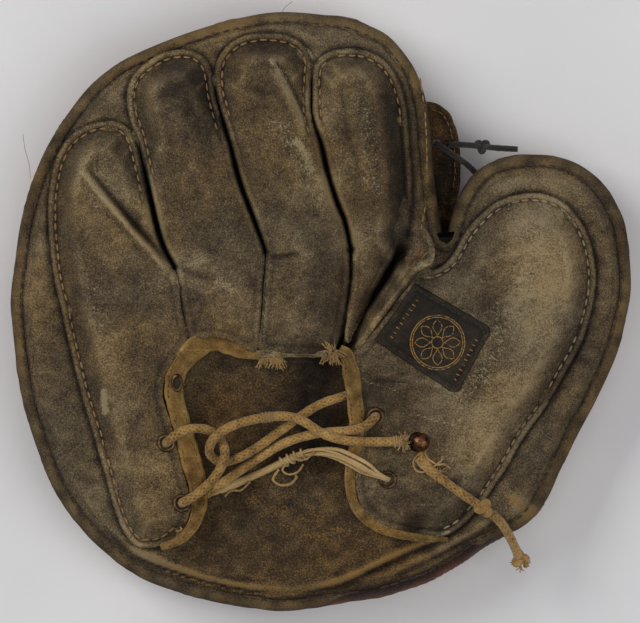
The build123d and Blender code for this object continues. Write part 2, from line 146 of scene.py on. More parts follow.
# Creases: points, depth, width, then the ridge beside them: height, offset (left of the way is +), width
CREASES = [
    ([(-105.5, 65.5), (-97, 55), (-87, 43), (-77, 31.5), (-67, 20)], 4.4, 2.4, 2.6, -2.6, 2.0),
    ([(-81, 70), (-78.5, 58), (-75, 44), (-72.5, 33)], 5.0, 1.3, 0.9, 3.6, 1.6),
    ([(-85, 84), (-82.5, 76), (-80.8, 64), (-77.5, 48)], 2.6, 1.1, 0.8, 3.0, 1.6),
    ([(-66, 21), (-60, 18), (-53, 15.5), (-46, 13)], 2.4, 2.6, 1.8, -5.2, 3.2),
    ([(-52, 101), (-49, 92), (-44.5, 84), (-42, 76)], 2.6, 1.5, 1.0, 3.4, 2.2),
    ([(-25, 26), (-21, 25), (-16, 25), (-9, 27)], 1.6, 2.0, 0.7, 3.4, 3.0),
    ([(-21, 112), (-16, 105), (-11, 96), (-7, 87), (-4.5, 78)], 2.6, 2.2, 2.4, -3.4, 2.6),
    ([(9, 104), (10, 92), (12, 80), (16, 66), (18, 54)], 1.5, 3.0, 0.9, 5, 3.5),
    ([(-116, 40), (-104, 30), (-92, 27), (-82, 30)], 0.8, 4.5, 0.6, 6, 5),
    ([(-60, 92), (-52, 84), (-46, 80)], 0.9, 3.5, 0.7, 4, 4),
    ([(-36, 104), (-26, 98), (-12, 100)], 1.1, 3.2, 0.8, -4, 4),
    ([(-58, 56), (-50, 50), (-38, 52)], 0.8, 4.2, 0.6, 5, 4),
    ([(-24, 62), (-14, 58), (-2, 62)], 0.7, 4.0, 0.6, 5, 4),
    ([(36, 96), (37, 80), (37.5, 62), (36.5, 46)], 1.8, 1.6, 0.9, -3.4, 2.2),
    ([(28, 0), (36, 4), (46, 2)], 0.8, 3.0, 0.5, 4, 3),
    ([(21, -30), (32, -31), (48, -34), (64, -40)], 0.5, 1.2, 0.5, 2, 1.6),
    ([(72, 30), (84, 22), (104, 24)], 0.7, 5.0, 0.5, 7, 5),
    ([(44, -80), (56, -78), (66, -74)], 0.8, 3.4, 0.6, 4, 3),
    ([(-98, -40), (-88, -46), (-76, -44)], 0.6, 4.0, 0.5, 5, 4),
    ([(-112, 10), (-100, 2), (-84, 4), (-70, 0)], 0.7, 4.6, 0.5, 6, 5),
]
# Relief of the back leather itself: the heel seams and folds inside the opening
BASE_CREASES = [
    ([(-98, -97), (-84, -110), (-63, -118.4), (-38, -125), (-14, -127.2)], 2.4, 1.5, 1.4, 2.4, 1.6),
    ([(-16, -127.2), (6, -124), (27, -114.6), (44, -107), (60, -101)], 2.4, 1.5, 1.6, 2.4, 1.6),
    ([(30, -121), (52, -110), (70, -101), (84, -90)], 1.8, 1.6, 1.0, 2.6, 1.6),
    ([(-70, -112), (-48, -119), (-24, -122)], 0.9, 1.4, 0.7, 2.2, 1.5),
    ([(-8, -30), (-6, -44), (-4, -60), (0, -74)], 4.5, 7.0, 1.0, 11, 6),
    ([(-52, -56), (-40, -70), (-24, -82), (-6, -90), (8, -92)], 1.0, 5.0, 0.8, 7, 6),
    ([(14, -104), (4, -110), (-14, -113), (-34, -111)], 0.8, 4.0, 0.8, 6, 5),
    ([(-48, -96), (-40, -104), (-28, -108)], 0.8, 3.0, 0.6, 4, 4),
]
# Where the stalls are sewn down beside each other, from the tips towards the hand
FINGER_SEAMS = [
    [(-84, 80), (-81, 68), (-78, 56), (-75, 43)],
    [(-48.4, 109), (-47, 97), (-43.6, 84), (-40, 72)],
    [(-3.8, 113), (-4.2, 100), (-4.1, 88), (-1.2, 78)],
]

# ------------------------------------------------------------------ wear, and painted shade
# Rubbed (+) and darker (-) stretches of the back, one of the darker ones painted shade: points, strength, half width
RUB_AND_SHADE_MARKS = [
    ([(104, 40), (98, 16), (86, -10), (76, -34), (66, -56)], 0.30, 17),
    ([(-104, 66), (-100, 58), (-92, 50)], 0.20, 9),
    ([(-98, 28), (-88, 22), (-74, 10)], 0.10, 12),
    ([(-98, -14), (-88, -42), (-78, -70)], 0.10, 13),
    ([(-74, 52), (-68, 30), (-62, 12)], 0.08, 7),
    ([(-52, 20), (-40, 12), (-34, -4)], 0.12, 9),
    ([(-18, 108), (-12, 98), (-6, 86)], 0.20, 5),
    ([(2, 58), (8, 44), (12, 28)], 0.16, 5),
    ([(20, 88), (24, 66), (22, 48)], -0.10, 11),
    ([(-130, 30), (-134, 0), (-128, -40)], 0.10, 7),
    ([(-96, 104), (-70, 120), (-40, 129)], 0.24, 6),
    ([(-40, 130), (0, 130), (26, 124), (40, 108)], 0.26, 5),
    ([(76, 60), (100, 62), (118, 56)], 0.12, 5),
    ([(44, 30), (46, 24), (45, 19)], 0.14, 5),
    ([(88, -86), (93, -91)], 0.45, 4),
    ([(-84, -108), (-60, -117), (-30, -125), (0, -125), (30, -112), (52, -102)], 0.22, 1.6),
    ([(-90, -96), (-74, -112), (-50, -122)], 0.2, 3),
    ([(78, 2), (80, -14), (70, -34)], -0.30, 8),
    ([(28, -36), (40, -46), (54, -52)], -0.16, 10),
    ([(34, -86), (52, -92), (66, -92)], -0.14, 8),
    ([(114, 44), (124, 20), (120, -10), (104, -38)], -0.16, 6),
    ([(-60, 104), (-54, 84)], -0.12, 12),
    ([(-24, 112), (-20, 96)], -0.12, 12),
    # painted shade: the opening under the right flap, darkened
    ([(-2, -24), (2, -38), (0, -54)], -0.34, 10),
    ([(8, 30), (8, 10), (4, -8)], -0.10, 5),
    ([(32, 98), (36, 60), (34, 36)], -0.16, 6),
]
# Bare flecks and scratches: points, strength, half width
SCUFFS = [
    ([(-22, 112), (-17, 104), (-12, 94), (-8, 84)], 0.95, 2.0),
    ([(-11, 76), (-7, 70), (-5, 64)], 0.95, 3.4),
    ([(-20, 84), (-12, 72), (-6, 60), (-2, 50)], 0.62, 9),
    ([(-46, 62), (-44, 46), (-38, 30)], 0.52, 7),
    ([(18, 92), (22, 74), (22, 56)], 0.56, 9),
    ([(-104, 16), (-100, -6), (-96, -26)], 0.48, 12),
    ([(-107.5, 62.5), (-99.6, 52.8), (-89.4, 41), (-79.6, 29.8)], 0.85, 1.5),
    ([(-97.6, -36), (-97, -45)], 1.1, 2.4),
    ([(2, 62), (6.4, 50), (10, 40), (12.4, 28)], 0.76, 2.0),
    ([(-46, 14), (-40, 10)], 0.70, 4),
    ([(43, -46.4), (52, -49), (62, -51.6), (74, -56)], 0.95, 0.5),
    ([(22, -32), (32, -35), (40, -40)], 0.70, 0.6),
    ([(88, 44), (96, 30), (92, 12)], 0.66, 12),
    ([(62, -40), (76, -24), (84, 0)], 0.60, 12),
    ([(40, 27), (46, 21)], 0.80, 3),
    ([(-18, -96), (-4, -101), (8, -98)], 0.62, 4),
    ([(-44, -40), (-28, -32), (-14, -28)], 0.58, 9),
    ([(-34, -84), (-10, -92), (6, -88)], 0.54, 14),
    ([(-70, -117), (-48, -124), (-20, -128), (4, -123)], 0.84, 1.3),
    ([(2, -122), (16, -117), (34, -109), (58, -99)], 0.9, 1.3),
    ([(-84, -107), (-63, -115.8), (-38, -122.6), (-14, -124.6)], 0.86, 1.1),
    ([(86, -84), (94, -92)], 1.0, 2.6),
    ([(44, 104), (47, 84), (47.5, 60), (46, 40)], 0.74, 1.6),
    ([(-84, 78), (-86, 92), (-84, 104)], 0.70, 1.6),
    ([(-100, 88), (-110, 82), (-118, 70)], 0.66, 1.6),
    ([(76, 62), (98, 64), (114, 60)], 0.70, 3),
]

# Bindings: centre line and full width at each point
LEFT_BINDING = (
    [(-27, -20.4), (-35, -18.4), (-42, -14.8), (-48, -13), (-54, -14.8), (-60, -20), (-64.5, -26.5),
     (-66.2, -34), (-65, -42), (-62, -53), (-58.6, -66), (-55.6, -77), (-54.8, -87), (-57.5, -96),
     (-63.5, -102.5), (-72, -106)],
    [2.6, 6.4, 9.4, 10.6, 9.8, 9, 8.6, 8.4, 8.4, 9, 9.4, 8.6, 7, 5.4, 4.2, 3],
)
CENTRE_BINDING = (
    [(-29, -19.6), (-22, -19.2), (-14, -18.6), (-5, -18.6), (3, -19)],
    [4.4, 4.2, 4, 4, 3.8],
)
RIGHT_BINDING = (
    [(8, -17), (11.6, -20), (13.6, -28), (15, -38), (16, -50), (15.4, -60), (13.4, -69), (13, -78),
     (15, -86.5), (20.5, -93.5), (29, -98.4), (39, -100.8), (49, -102), (57, -102.4)],
    [5.4, 7.4, 7.6, 7.4, 7.2, 6.2, 5, 4.6, 4.6, 4.6, 4.2, 3.8, 3.2, 1.6],
)

# ------------------------------------------------------------------ hardware
LEFT_UPPER_EYELET = (-69.5, -59)
LEFT_LOWER_EYELET = (-62.5, -86)
SPARE_EYELET = (-64.6, -32)
RIGHT_UPPER_EYELET = (24.5, -47)
RIGHT_LOWER_EYELET = (30, -75.5)
STUD_AT = (44, -58.5)
PATCH = [(42.2, 12.8), (76.8, -7.6), (60.6, -37.6), (23.8, -13)]
PATCH_RING_AT, PATCH_RING_R = (52.2, -13.9), 12.2
PATCH_STITCH_INSET = 2.2
GILT_LIFT = 0.02

# ------------------------------------------------------------------ cords: the routes of part.py
LACE_D = 4.2
LEFT_LOOP = [
    (-69.5, -59, 43.4), (-69.5, -59, 50.2), (-63.5, -53.8, 50.6), (-56.5, -52, 49.6),
    (-49.5, -53.2, 46.6), (-44.6, -57.6, 45.8), (-42.6, -63.5, 49.6), (-44.6, -70, 51.4),
    (-49.5, -76.5, 50.2), (-55, -81.5, 49.9), (-62.5, -86, 50.4), (-62.5, -86, 43.4),
]
UPPER_RUN = [
    (17, -36, 41.2), (9, -38.4, 41.4), (-1, -41.6, 42.6), (-10, -47.6, 44), (-19, -54, 44.6),
    (-29, -61.4, 44.8), (-38, -66.5, 45), (-45.5, -68, 45.2), (-50.6, -64, 46.8), (-49.6, -58.5, 50),
    (-45, -53.6, 51.8), (-37, -49.9, 51), (-27, -47.6, 50.2), (-15, -46.4, 49.8), (-7, -49.4, 50),
    (0, -54.6, 51), (9, -57.8, 50.6), (22, -58.6, 50), (37.4, -58.2, 49.8),
]
CROSS_RUN = [
    (24.5, -47, 43.4), (24.5, -47, 50.2), (19.4, -52.2, 50.4), (11, -53.6, 49.2), (1, -54.2, 45.8),
    (-9, -56.2, 45), (-18, -59.6, 43.8), (-27, -65, 42.6), (-35, -70.4, 41.8), (-43, -76.4, 41.4),
    (-52, -82.4, 41.2),
]
FRAYED_RUN = [
    (30, -75.5, 43.4), (30, -75.5, 50.2), (23, -72.2, 50.4), (14, -67.2, 50), (6, -63.8, 47.2),
    (-4, -62.9, 42.6), (-14, -66, 39.4), (-24, -71.2, 37.4), (-35, -76, 36.9), (-45, -80, 36.8),
    (-54, -84.4, 36.8),
]
TAIL = [
    (44, -65, 49.7), (49, -71, 49.6), (56, -76.6, 49.6), (64, -82.4, 50.2), (73.6, -88.6, 50.4),
    (79.6, -93.2, 46.4), (83.6, -98.8, 40.6), (86.8, -105, 34.2), (89.4, -110.6, 27.4),
]
STUD_HITCH = [
    (36.8, -58.4, 49.8), (39.6, -57, 48.6), (41.6, -55.8, 47.9), (44.2, -55.2, 47.8), (46.6, -56.4, 47.8),
    (47.3, -59, 47.8), (46.2, -61.6, 48.2), (44.9, -64, 49.2), (45.4, -66.6, 49.7),
]
TAIL_KNOT = (72.8, -88.1, 50.5)
END_KNOT = (90, -111.8, 26.4)
THONG_D = 2.8
THONG = [
    (52.6, 76.5, 8.6), (52.6, 76.5, 16.4), (57.4, 73.2, 16.2), (63, 69.4, 15), (68.6, 65.4, 12.8),
    (71.9, 61.4, 11.2),
]
THONG_TAIL = [
    (58, 76, 14.7), (64, 76, 15), (70, 75.4, 17), (76, 74.6, 20.4), (82, 74, 22.6), (89, 73.6, 24),
]
THONG_KNOT = (73.1, 75.2, 18.9)
# The lowest points run past the tab down into the notch at the crotch, so that its dark leather stands in for the shade
# there: painted shade.
WEB_TAB = [
    (46, 95), (53, 94.5), (58, 90), (61.8, 82), (63.4, 72), (63.4, 62), (62.4, 54), (61, 46), (60, 36),
    (57, 28), (53.4, 36), (50.6, 48), (46, 58), (42, 74), (42, 88),
]
TAB_HOLE = (52.6, 76.5)


# ------------------------------------------------------------------ curves
def through(points, step, closed=False):
    """Points every step along a smooth curve through the given ones."""
    p = np.array(points, float)
    before, after = (p[-1:], p[:2]) if closed else (2 * p[:1] - p[1:2], 2 * p[-1:] - p[-2:-1])
    padded = np.vstack([before, p, after])
    t = np.linspace(0, 1, 16, endpoint=False)[:, None]
    pieces = []
    for a, b, c, d in zip(padded, padded[1:], padded[2:], padded[3:]):
        bend, twist = 2 * a - 5 * b + 4 * c - d, 3 * b - a - 3 * c + d
        pieces.append(0.5 * (2 * b + (c - a) * t + bend * t**2 + twist * t**3))
    dense = np.vstack(pieces + ([p[:1]] if closed else [p[-1:]]))
    return along(dense, step, closed)


def along(dense, step, closed=False):
    """The same line with points every step."""
    run = np.concatenate([[0], np.cumsum(np.linalg.norm(np.diff(dense, axis=0), axis=1))])
    count = max(2, int(round(run[-1] / step)))
    at = np.linspace(0, run[-1], count + 1)[: count if closed else count + 1]
    return np.stack([np.interp(at, run, dense[:, k]) for k in range(dense.shape[1])], 1)


BATCH = 3000   # points measured at a time, to spare memory


class Line:
    """A plane curve that points can be measured from."""

    def __init__(self, points, closed=False):
        self.p = through(points, 1.0, closed)[:, :2]
        self.a = self.p if closed else self.p[:-1]
        self.b = np.vstack([self.p[1:], self.p[:1]]) if closed else self.p[1:]
        area = np.sum(self.a[:, 0] * self.b[:, 1] - self.b[:, 0] * self.a[:, 1])
        self.turn = 1.0 if area > 0 else -1.0

    def measure(self, q):
        """For each point: distance, nearest point, place along the line (0 to 1) and side (left is +)."""
        q = np.asarray(q, float)
        dist = np.empty(len(q))
        near = np.empty((len(q), 2))
        place = np.empty(len(q))
        side = np.empty(len(q))
        span = self.b - self.a
        length2 = np.maximum((span**2).sum(1), 1e-12)
        for i in range(0, len(q), BATCH):
            rows = slice(i, i + BATCH)
            part = q[rows]
            rel = part[:, None, :] - self.a[None]
            t = np.clip((rel * span[None]).sum(2) / length2[None], 0, 1)
            off = rel - t[..., None] * span[None]
            d2 = (off**2).sum(2)
            k = d2.argmin(1)
            row = np.arange(len(part))
            dist[rows] = np.sqrt(d2[row, k])
            near[rows] = part - off[row, k]
            place[rows] = (k + t[row, k]) / len(self.a)
            cross = span[k, 0] * rel[row, k, 1] - span[k, 1] * rel[row, k, 0]
            side[rows] = np.where(cross >= 0, 1.0, -1.0)
        return dist, near, place, side

    def inside(self, q):
        """Depth of each point inside a closed curve, negative outside, and its nearest edge point."""
        dist, near, _, _ = self.measure(q)
        x, y = q[:, 0], q[:, 1]
        odd = np.zeros(len(q), bool)
        for (x0, y0), (x1, y1) in zip(self.a, self.b):
            if y0 != y1:
                cuts = (y0 > y) != (y1 > y)
                odd ^= cuts & (x < (x1 - x0) * (y - y0) / (y1 - y0) + x0)
        return np.where(odd, dist, -dist), near


def lumps(q, size, seed):
    """Smooth noise, about -1 to 1, with features of a given size in millimetres."""
    rng = np.random.default_rng(seed)
    total = np.zeros(len(q))
    for _ in range(14):
        angle = rng.uniform(0, TURN)
        wave = TURN / (size * rng.uniform(0.7, 1.6))
        total += np.sin(wave * (q[:, 0] * math.cos(angle) + q[:, 1] * math.sin(angle)) + rng.uniform(0, 6.3))
    return total / 3.2


def leftwards(steps):
    """The unit direction to the left of each plane step."""
    unit = steps / np.maximum(np.linalg.norm(steps, axis=1), 1e-9)[:, None]
    return np.column_stack([-unit[:, 1], unit[:, 0]])


SILHOUETTE = Line(MITT, closed=True)
INWARD = SILHOUETTE.turn * leftwards(np.roll(SILHOUETTE.p, -1, 0) - np.roll(SILHOUETTE.p, 1, 0))
SEWN = Line(SEWN_EDGE)
THUMB_SEWN = Line(THUMB_SEWN_EDGE)
DEEP_VALLEYS = (0, 2, 4, 6)   # the ones that open down to the back leather
VALLEY_FALL = 13              # how far it sinks under them
FINGER_SEAM_LINES = [Line(points) for points in FINGER_SEAMS]
RUB_AND_SHADE_LINES, SCUFF_LINES, CREASE_LINES, BASE_CREASE_LINES, FINGER_LINES, VALLEY_LINES = (
    [(Line(points), *rest) for points, *rest in rows]
    for rows in (RUB_AND_SHADE_MARKS, SCUFFS, CREASES, BASE_CREASES, FINGERS, VALLEYS)
)


def creased(q, z, creases):
    """Height with each crease's groove and the ridge beside it."""
    for line, depth, width, ridge, offset, ridge_width in creases:
        dist, _, place, side = line.measure(q)
        fade = np.sin(np.clip(place, 0, 1) * math.pi) ** 0.6
        signed = dist * side
        reach = np.where(signed * offset > 0, 0.5 * width, 1.7 * width)
        z = z - depth * fade * np.exp(-((dist / reach) ** 1.4))
        z = z + ridge * fade * bell(signed - offset, ridge_width) * (dist < 30)
    return z


def bell(away, width):
    """1 at no distance, fading out over the width."""
    return np.exp(-((away / width) ** 2))


def smooth(t):
    """From 0 to 1 with a level start and end."""
    t = np.clip(t, 0, 1)
    return t * t * (3 - 2 * t)


def sewn_distance(q):
    """How far each point is from the panels' sewn edges."""
    return np.minimum(SEWN.measure(q)[0], THUMB_SEWN.measure(q)[0])


def back_height(q):
    """The leather surface of the stalls and panels."""
    q = np.asarray(q, float)
    z = np.full(len(q), FLAP_Z)
    bulge = np.zeros(len(q))
    for line, height, half in FINGER_LINES:
        dist, _, _, _ = line.measure(q)
        bulge = np.maximum(bulge, height * bell(dist, half))
    z = z + bulge
    z = creased(q, z, CREASE_LINES)
    z = z + 0.6 * lumps(q, 30, 3) + 0.34 * lumps(q, 12, 4) + 0.1 * lumps(q, 4.5, 5)
    sewn = sewn_distance(q)
    flat = 1 - smooth((sewn - STITCH_INSET) / 10.5)
    for line in FINGER_SEAM_LINES:
        dist, _, place, _ = line.measure(q)
        held = 1 - smooth(place * 1.1)
        flat = np.maximum(flat, held * (1 - smooth((dist - 3.2) / 7)))
        sewn = np.minimum(sewn, dist + 30 * (place > 0.9))
    lip = RING_Z + 1.5 * (1 - np.exp(-sewn / 0.7)) + 0.3 * lumps(q, 16, 6)
    z = lip + (z - lip) * (1 - flat) - 0.75 * bell(sewn - STITCH_INSET, 0.75)
    for line, depths, width in VALLEY_LINES:
        dist, _, place, _ = line.measure(q)
        depth = np.interp(place, np.linspace(0, 1, len(depths)), depths)
        z = z - depth * np.exp(-((dist / width) ** 1.15))
    return z


def base_height(q):
    """The back leather under and round the panels, the lining in the opening and the heel."""
    q = np.asarray(q, float)
    depth, _ = SILHOUETTE.inside(q)
    sewn = sewn_distance(q)
    ring = 6.4 * (1 - np.exp(-np.maximum(depth - SEAM_D, 0) / 4.2)) * (1 - 0.16 * bell(sewn, 2.6))
    heel = bell(q[:, 1] + 112, 22) * bell(q[:, 0] + 8, 62)
    hollow = np.exp(-(((q[:, 0] + 22) / 46) ** 2 + ((q[:, 1] + 48) / 30) ** 2))
    shaded = np.exp(-(((q[:, 0] - 6) / 13) ** 2 + ((q[:, 1] + 40) / 26) ** 2))
    z = LINING_Z + ring * (1 - hollow) + 1.2 * heel - 3.0 * shaded
    for k in DEEP_VALLEYS:
        gap, _, place, _ = VALLEY_LINES[k][0].measure(q)
        z = z - VALLEY_FALL * smooth(place / 0.35) * bell(gap, 5)
    z = z + (0.5 * lumps(q, 26, 11) + 0.25 * lumps(q, 9, 12)) * np.clip((depth - SEAM_D) / 6, 0, 1)
    return creased(q, z, BASE_CREASE_LINES)


# ------------------------------------------------------------------ meshes
def placed(name, data):
    """A new object in the scene."""
    made = bpy.data.objects.new(name, data)
    bpy.context.scene.collection.objects.link(made)
    return made


def make_mesh(name, verts, faces, material):
    """A mesh object from points in millimetres."""
    mesh = bpy.data.meshes.new(name)
    mesh.from_pydata((np.asarray(verts, float) * MM).tolist(), [], faces)
    mesh.update()
    mesh.shade_smooth()
    mesh.materials.append(material)
    return placed(name, mesh)


def set_values(obj, name, values):
    """A number on every point, which the materials read."""
    layer = obj.data.attributes.new(name, "FLOAT", "POINT")
    layer.data.foreach_set("value", np.asarray(values, np.float32))


def sheet_grid(curve, pitch, rim=0.0):
    """A grid inside a closed curve, rim millimetres in from it, its outer points moved onto the edge."""
    low = curve.p.min(0) - pitch
    high = curve.p.max(0) + pitch
    xs = np.arange(low[0], high[0] + pitch, pitch)
    ys = np.arange(low[1], high[1] + pitch, pitch)
    gx, gy = np.meshgrid(xs, ys)
    q = np.stack([gx.ravel(), gy.ravel()], 1)
    depth, near = curve.inside(q)
    away = np.sign(depth)[:, None] * (q - near) / np.maximum(np.abs(depth), 1e-6)[:, None]
    depth = depth - rim
    edge = np.abs(depth) < 0.5 * pitch
    q[edge] = near[edge] + rim * away[edge]
    depth[edge] = 0
    keep = depth >= 0
    number = np.full(len(q), -1)
    number[keep] = np.arange(keep.sum())
    number = number.reshape(gx.shape)
    corners = np.stack([number[:-1, :-1], number[:-1, 1:], number[1:, 1:], number[1:, :-1]], -1)
    corners = corners.reshape(-1, 4)
    held = (corners >= 0).sum(1)
    faces = corners[held == 4].tolist()
    kept = q[keep]
    for row in corners[held == 3].tolist():
        a, b, c = (k for k in row if k >= 0)
        u, v = kept[b] - kept[a], kept[c] - kept[a]
        if abs(u[0] * v[1] - u[1] * v[0]) > 0.16 * pitch**2:
            faces.append([a, b, c])
    return kept, depth[keep], faces


def proud_of_surroundings(obj, passes=10):
    """How much each point stands proud of its surroundings, in millimetres."""
    mesh = obj.data
    edges = np.empty(len(mesh.edges) * 2, int)
    mesh.edges.foreach_get("vertices", edges)
    edges = edges.reshape(-1, 2)
    co = np.empty(len(mesh.vertices) * 3)
    mesh.vertices.foreach_get("co", co)
    z = co[2::3] / MM
    count = np.bincount(edges.ravel(), minlength=len(z))
    level = z.copy()
    for _ in range(passes):
        total = (np.bincount(edges[:, 0], level[edges[:, 1]], len(z))
                 + np.bincount(edges[:, 1], level[edges[:, 0]], len(z)))
        level = 0.4 * level + 0.6 * total / np.maximum(count, 1)
    return z - level


def mark_wear_and_shade(obj, q, shift=0.0):
    """How much lighter or darker each point is, with painted shade among the darker marks, and where bare flecks and
    scratches lie.
    """
    rub_and_shade = np.zeros(len(q)) + shift
    for line, strength, half in RUB_AND_SHADE_LINES:
        rub_and_shade += strength * bell(line.measure(q)[0], half)
    scuff = np.zeros(len(q))
    for line, strength, half in SCUFF_LINES:
        scuff = np.maximum(scuff, strength * bell(line.measure(q)[0], half))
    set_values(obj, "rub_and_shade", rub_and_shade)
    set_values(obj, "scuff", scuff)


def edge_wear(depth):
    """A rubbed cut edge, and a darker line along the row of stitches inside it."""
    return 0.12 * bell(depth, 0.8) - 0.16 * bell(depth - STITCH_INSET, 0.8)


def leather_sheet(name, curve, height, material, pitch=1.1, rim=0.0, thick=LEATHER):
    """A leather piece that follows a height function, with wear on its ridges and painted shade in its folds."""
    q, depth, faces = sheet_grid(curve, pitch, rim)
    z = height(q)
    obj = make_mesh(name, np.column_stack([q, z]), faces, material)
    proud = proud_of_surroundings(obj)
    set_values(obj, "proud", np.clip(proud, -2, 2))
    mark_wear_and_shade(obj, q, edge_wear(depth))
    if thick:
        solid = obj.modifiers.new("thickness", "SOLIDIFY")
        solid.thickness = thick * MM
        solid.offset = -1
    return obj


def bridge(name, rings, material, closed_rings=True, closed_run=False):
    """A skin over rings of equally many points."""
    rings = np.asarray(rings, float)
    count, size, _ = rings.shape
    faces = []
    for i in range(count if closed_run else count - 1):
        j = (i + 1) % count
        for k in range(size if closed_rings else size - 1):
            m = (k + 1) % size
            faces.append((i * size + k, i * size + m, j * size + m, j * size + k))
    if closed_rings and not closed_run:
        faces.append(tuple(range(size))[::-1])
        faces.append(tuple((count - 1) * size + k for k in range(size)))
    return make_mesh(name, rings.reshape(-1, 3), faces, material)


def lathe(name, at, profile, material, base, segments=40):
    """A turned piece about a vertical axis: profile is (radius, height over the base)."""
    turn = np.linspace(0, TURN, segments, endpoint=False)
    rings = [[(at[0] + r * math.cos(t), at[1] + r * math.sin(t), base + z) for r, z in profile]
             for t in turn]
    return bridge(name, rings, material, closed_rings=False, closed_run=True)


def frames_along(path):
    """Tangent and two steady cross directions at each point of a path."""
    tangent = np.gradient(path, axis=0)
    tangent /= np.linalg.norm(tangent, axis=1)[:, None]
    side = np.empty_like(path)
    side[0] = np.cross(tangent[0], [0, 0, 1] if abs(tangent[0][2]) < 0.9 else [0, 1, 0])
    side[0] /= np.linalg.norm(side[0])
    for i in range(1, len(path)):
        kept = side[i - 1] - tangent[i] * (side[i - 1] @ tangent[i])
        side[i] = kept / np.linalg.norm(kept)
    return tangent, side, np.cross(tangent, side)


def tube_rings(path, radius, around=28):
    """Rings round a path; radius is a function of (angle, run), a number or a column with one a ring."""
    _, side, up = frames_along(path)
    run = np.concatenate([[0], np.cumsum(np.linalg.norm(np.diff(path, axis=0), axis=1))])
    angle = np.linspace(0, TURN, around, endpoint=False)
    a, s = np.meshgrid(angle, run)
    r = radius(a, s) if callable(radius) else np.full_like(a, radius)
    out = np.cos(a)[..., None] * side[:, None] + np.sin(a)[..., None] * up[:, None]
    return path[:, None] + r[..., None] * out


ROUTE_STEP = 0.45
STITCH_SHARE = 0.8    # of the pitch that thread covers
STITCH_LIFT = 0.12
STITCH_MISSING = 0.05


def braid(diameter, tight=2.7, strands=6):
    """The surface of a round braid: two sets of strands, over and under each other."""
    def radius(angle, run):
        one = np.cos(strands * angle + run * TURN / tight)
        two = np.cos(strands * angle - run * TURN / tight)
        swell = 0.02 * np.sin(run * 0.55) + 0.015 * np.sin(run * 1.3 + 2)
        return diameter / 2 * (0.94 + 0.07 * np.maximum(one, two) + swell)
    return radius


def nurbs_path(name, points):
    """Points along the smooth spline that a cord's route controls, in millimetres."""
    curve = bpy.data.curves.new(name, "CURVE")
    curve.dimensions = "3D"
    curve.resolution_u = 16
    spline = curve.splines.new("NURBS")
    spline.points.add(len(points) - 1)
    for control, point in zip(spline.points, points):
        control.co = (*(c * MM for c in point), 1)
    spline.order_u = 3
    spline.use_endpoint_u = True
    holder = placed(name, curve)
    bpy.context.view_layer.update()
    mesh = bpy.data.meshes.new_from_object(holder.evaluated_get(bpy.context.evaluated_depsgraph_get()))
    read = np.array([v.co for v in mesh.vertices]) / MM
    bpy.data.objects.remove(holder)
    return along(read, ROUTE_STEP)


def join_rings(name, groups, material):
    """Many small tubes as one mesh."""
    verts, faces = [], []
    for rings in groups:
        count, size, _ = rings.shape
        base = len(verts)
        verts.extend(rings.reshape(-1, 3).tolist())
        for i in range(count - 1):
            for k in range(size):
                m = (k + 1) % size
                here, ahead = base + i * size, base + (i + 1) * size
                faces.append((here + k, here + m, ahead + m, ahead + k))
        faces.append(tuple(base + k for k in range(size))[::-1])
        faces.append(tuple(base + (count - 1) * size + k for k in range(size)))
    return make_mesh(name, verts, faces, material)


def stitches(name, line, height, material, pitch=4.5, radius=0.43, seed=1):
    """A row of thread stitches lying in the leather along a line."""
    rng = np.random.default_rng(seed)
    spots = along(np.asarray(line, float), pitch)
    groups = []
    for a, b in zip(spots, spots[1:]):
        if rng.random() < STITCH_MISSING:
            continue
        way = b - a
        start, end = a + way * (1 - STITCH_SHARE) / 2, b - way * (1 - STITCH_SHARE) / 2
        t = np.linspace(0, 1, 7)[:, None]
        flat = start + (end - start) * t + rng.normal(0, 0.12, 2)
        arch = np.sin(t[:, 0] * math.pi)
        z = height(flat).mean() + STITCH_LIFT + radius * (1.5 * arch - 0.9)
        taper = radius * rng.uniform(0.85, 1.12) * (0.45 + 0.55 * arch)
        groups.append(tube_rings(np.column_stack([flat, z]), taper[:, None], 7))
    return join_rings(name, groups, material)


def inside_row(outline, start, end):
    """A row of stitches inside a closed outline, from its point nearest start to the one nearest end."""
    curve = Line(outline, closed=True)
    first, last = (int(np.linalg.norm(curve.p - np.array(at), axis=1).argmin()) for at in (start, end))
    if last < first:
        last += len(curve.p)
    row = curve.p[np.arange(first, last + 1) % len(curve.p)]
    return offset_line(row, curve.turn * STITCH_INSET)


def offset_line(line, distance):
    """A plane line moved sideways, to its left where the distance is positive."""
    line = np.asarray(line, float)
    return line + distance * leftwards(np.gradient(line, axis=0))


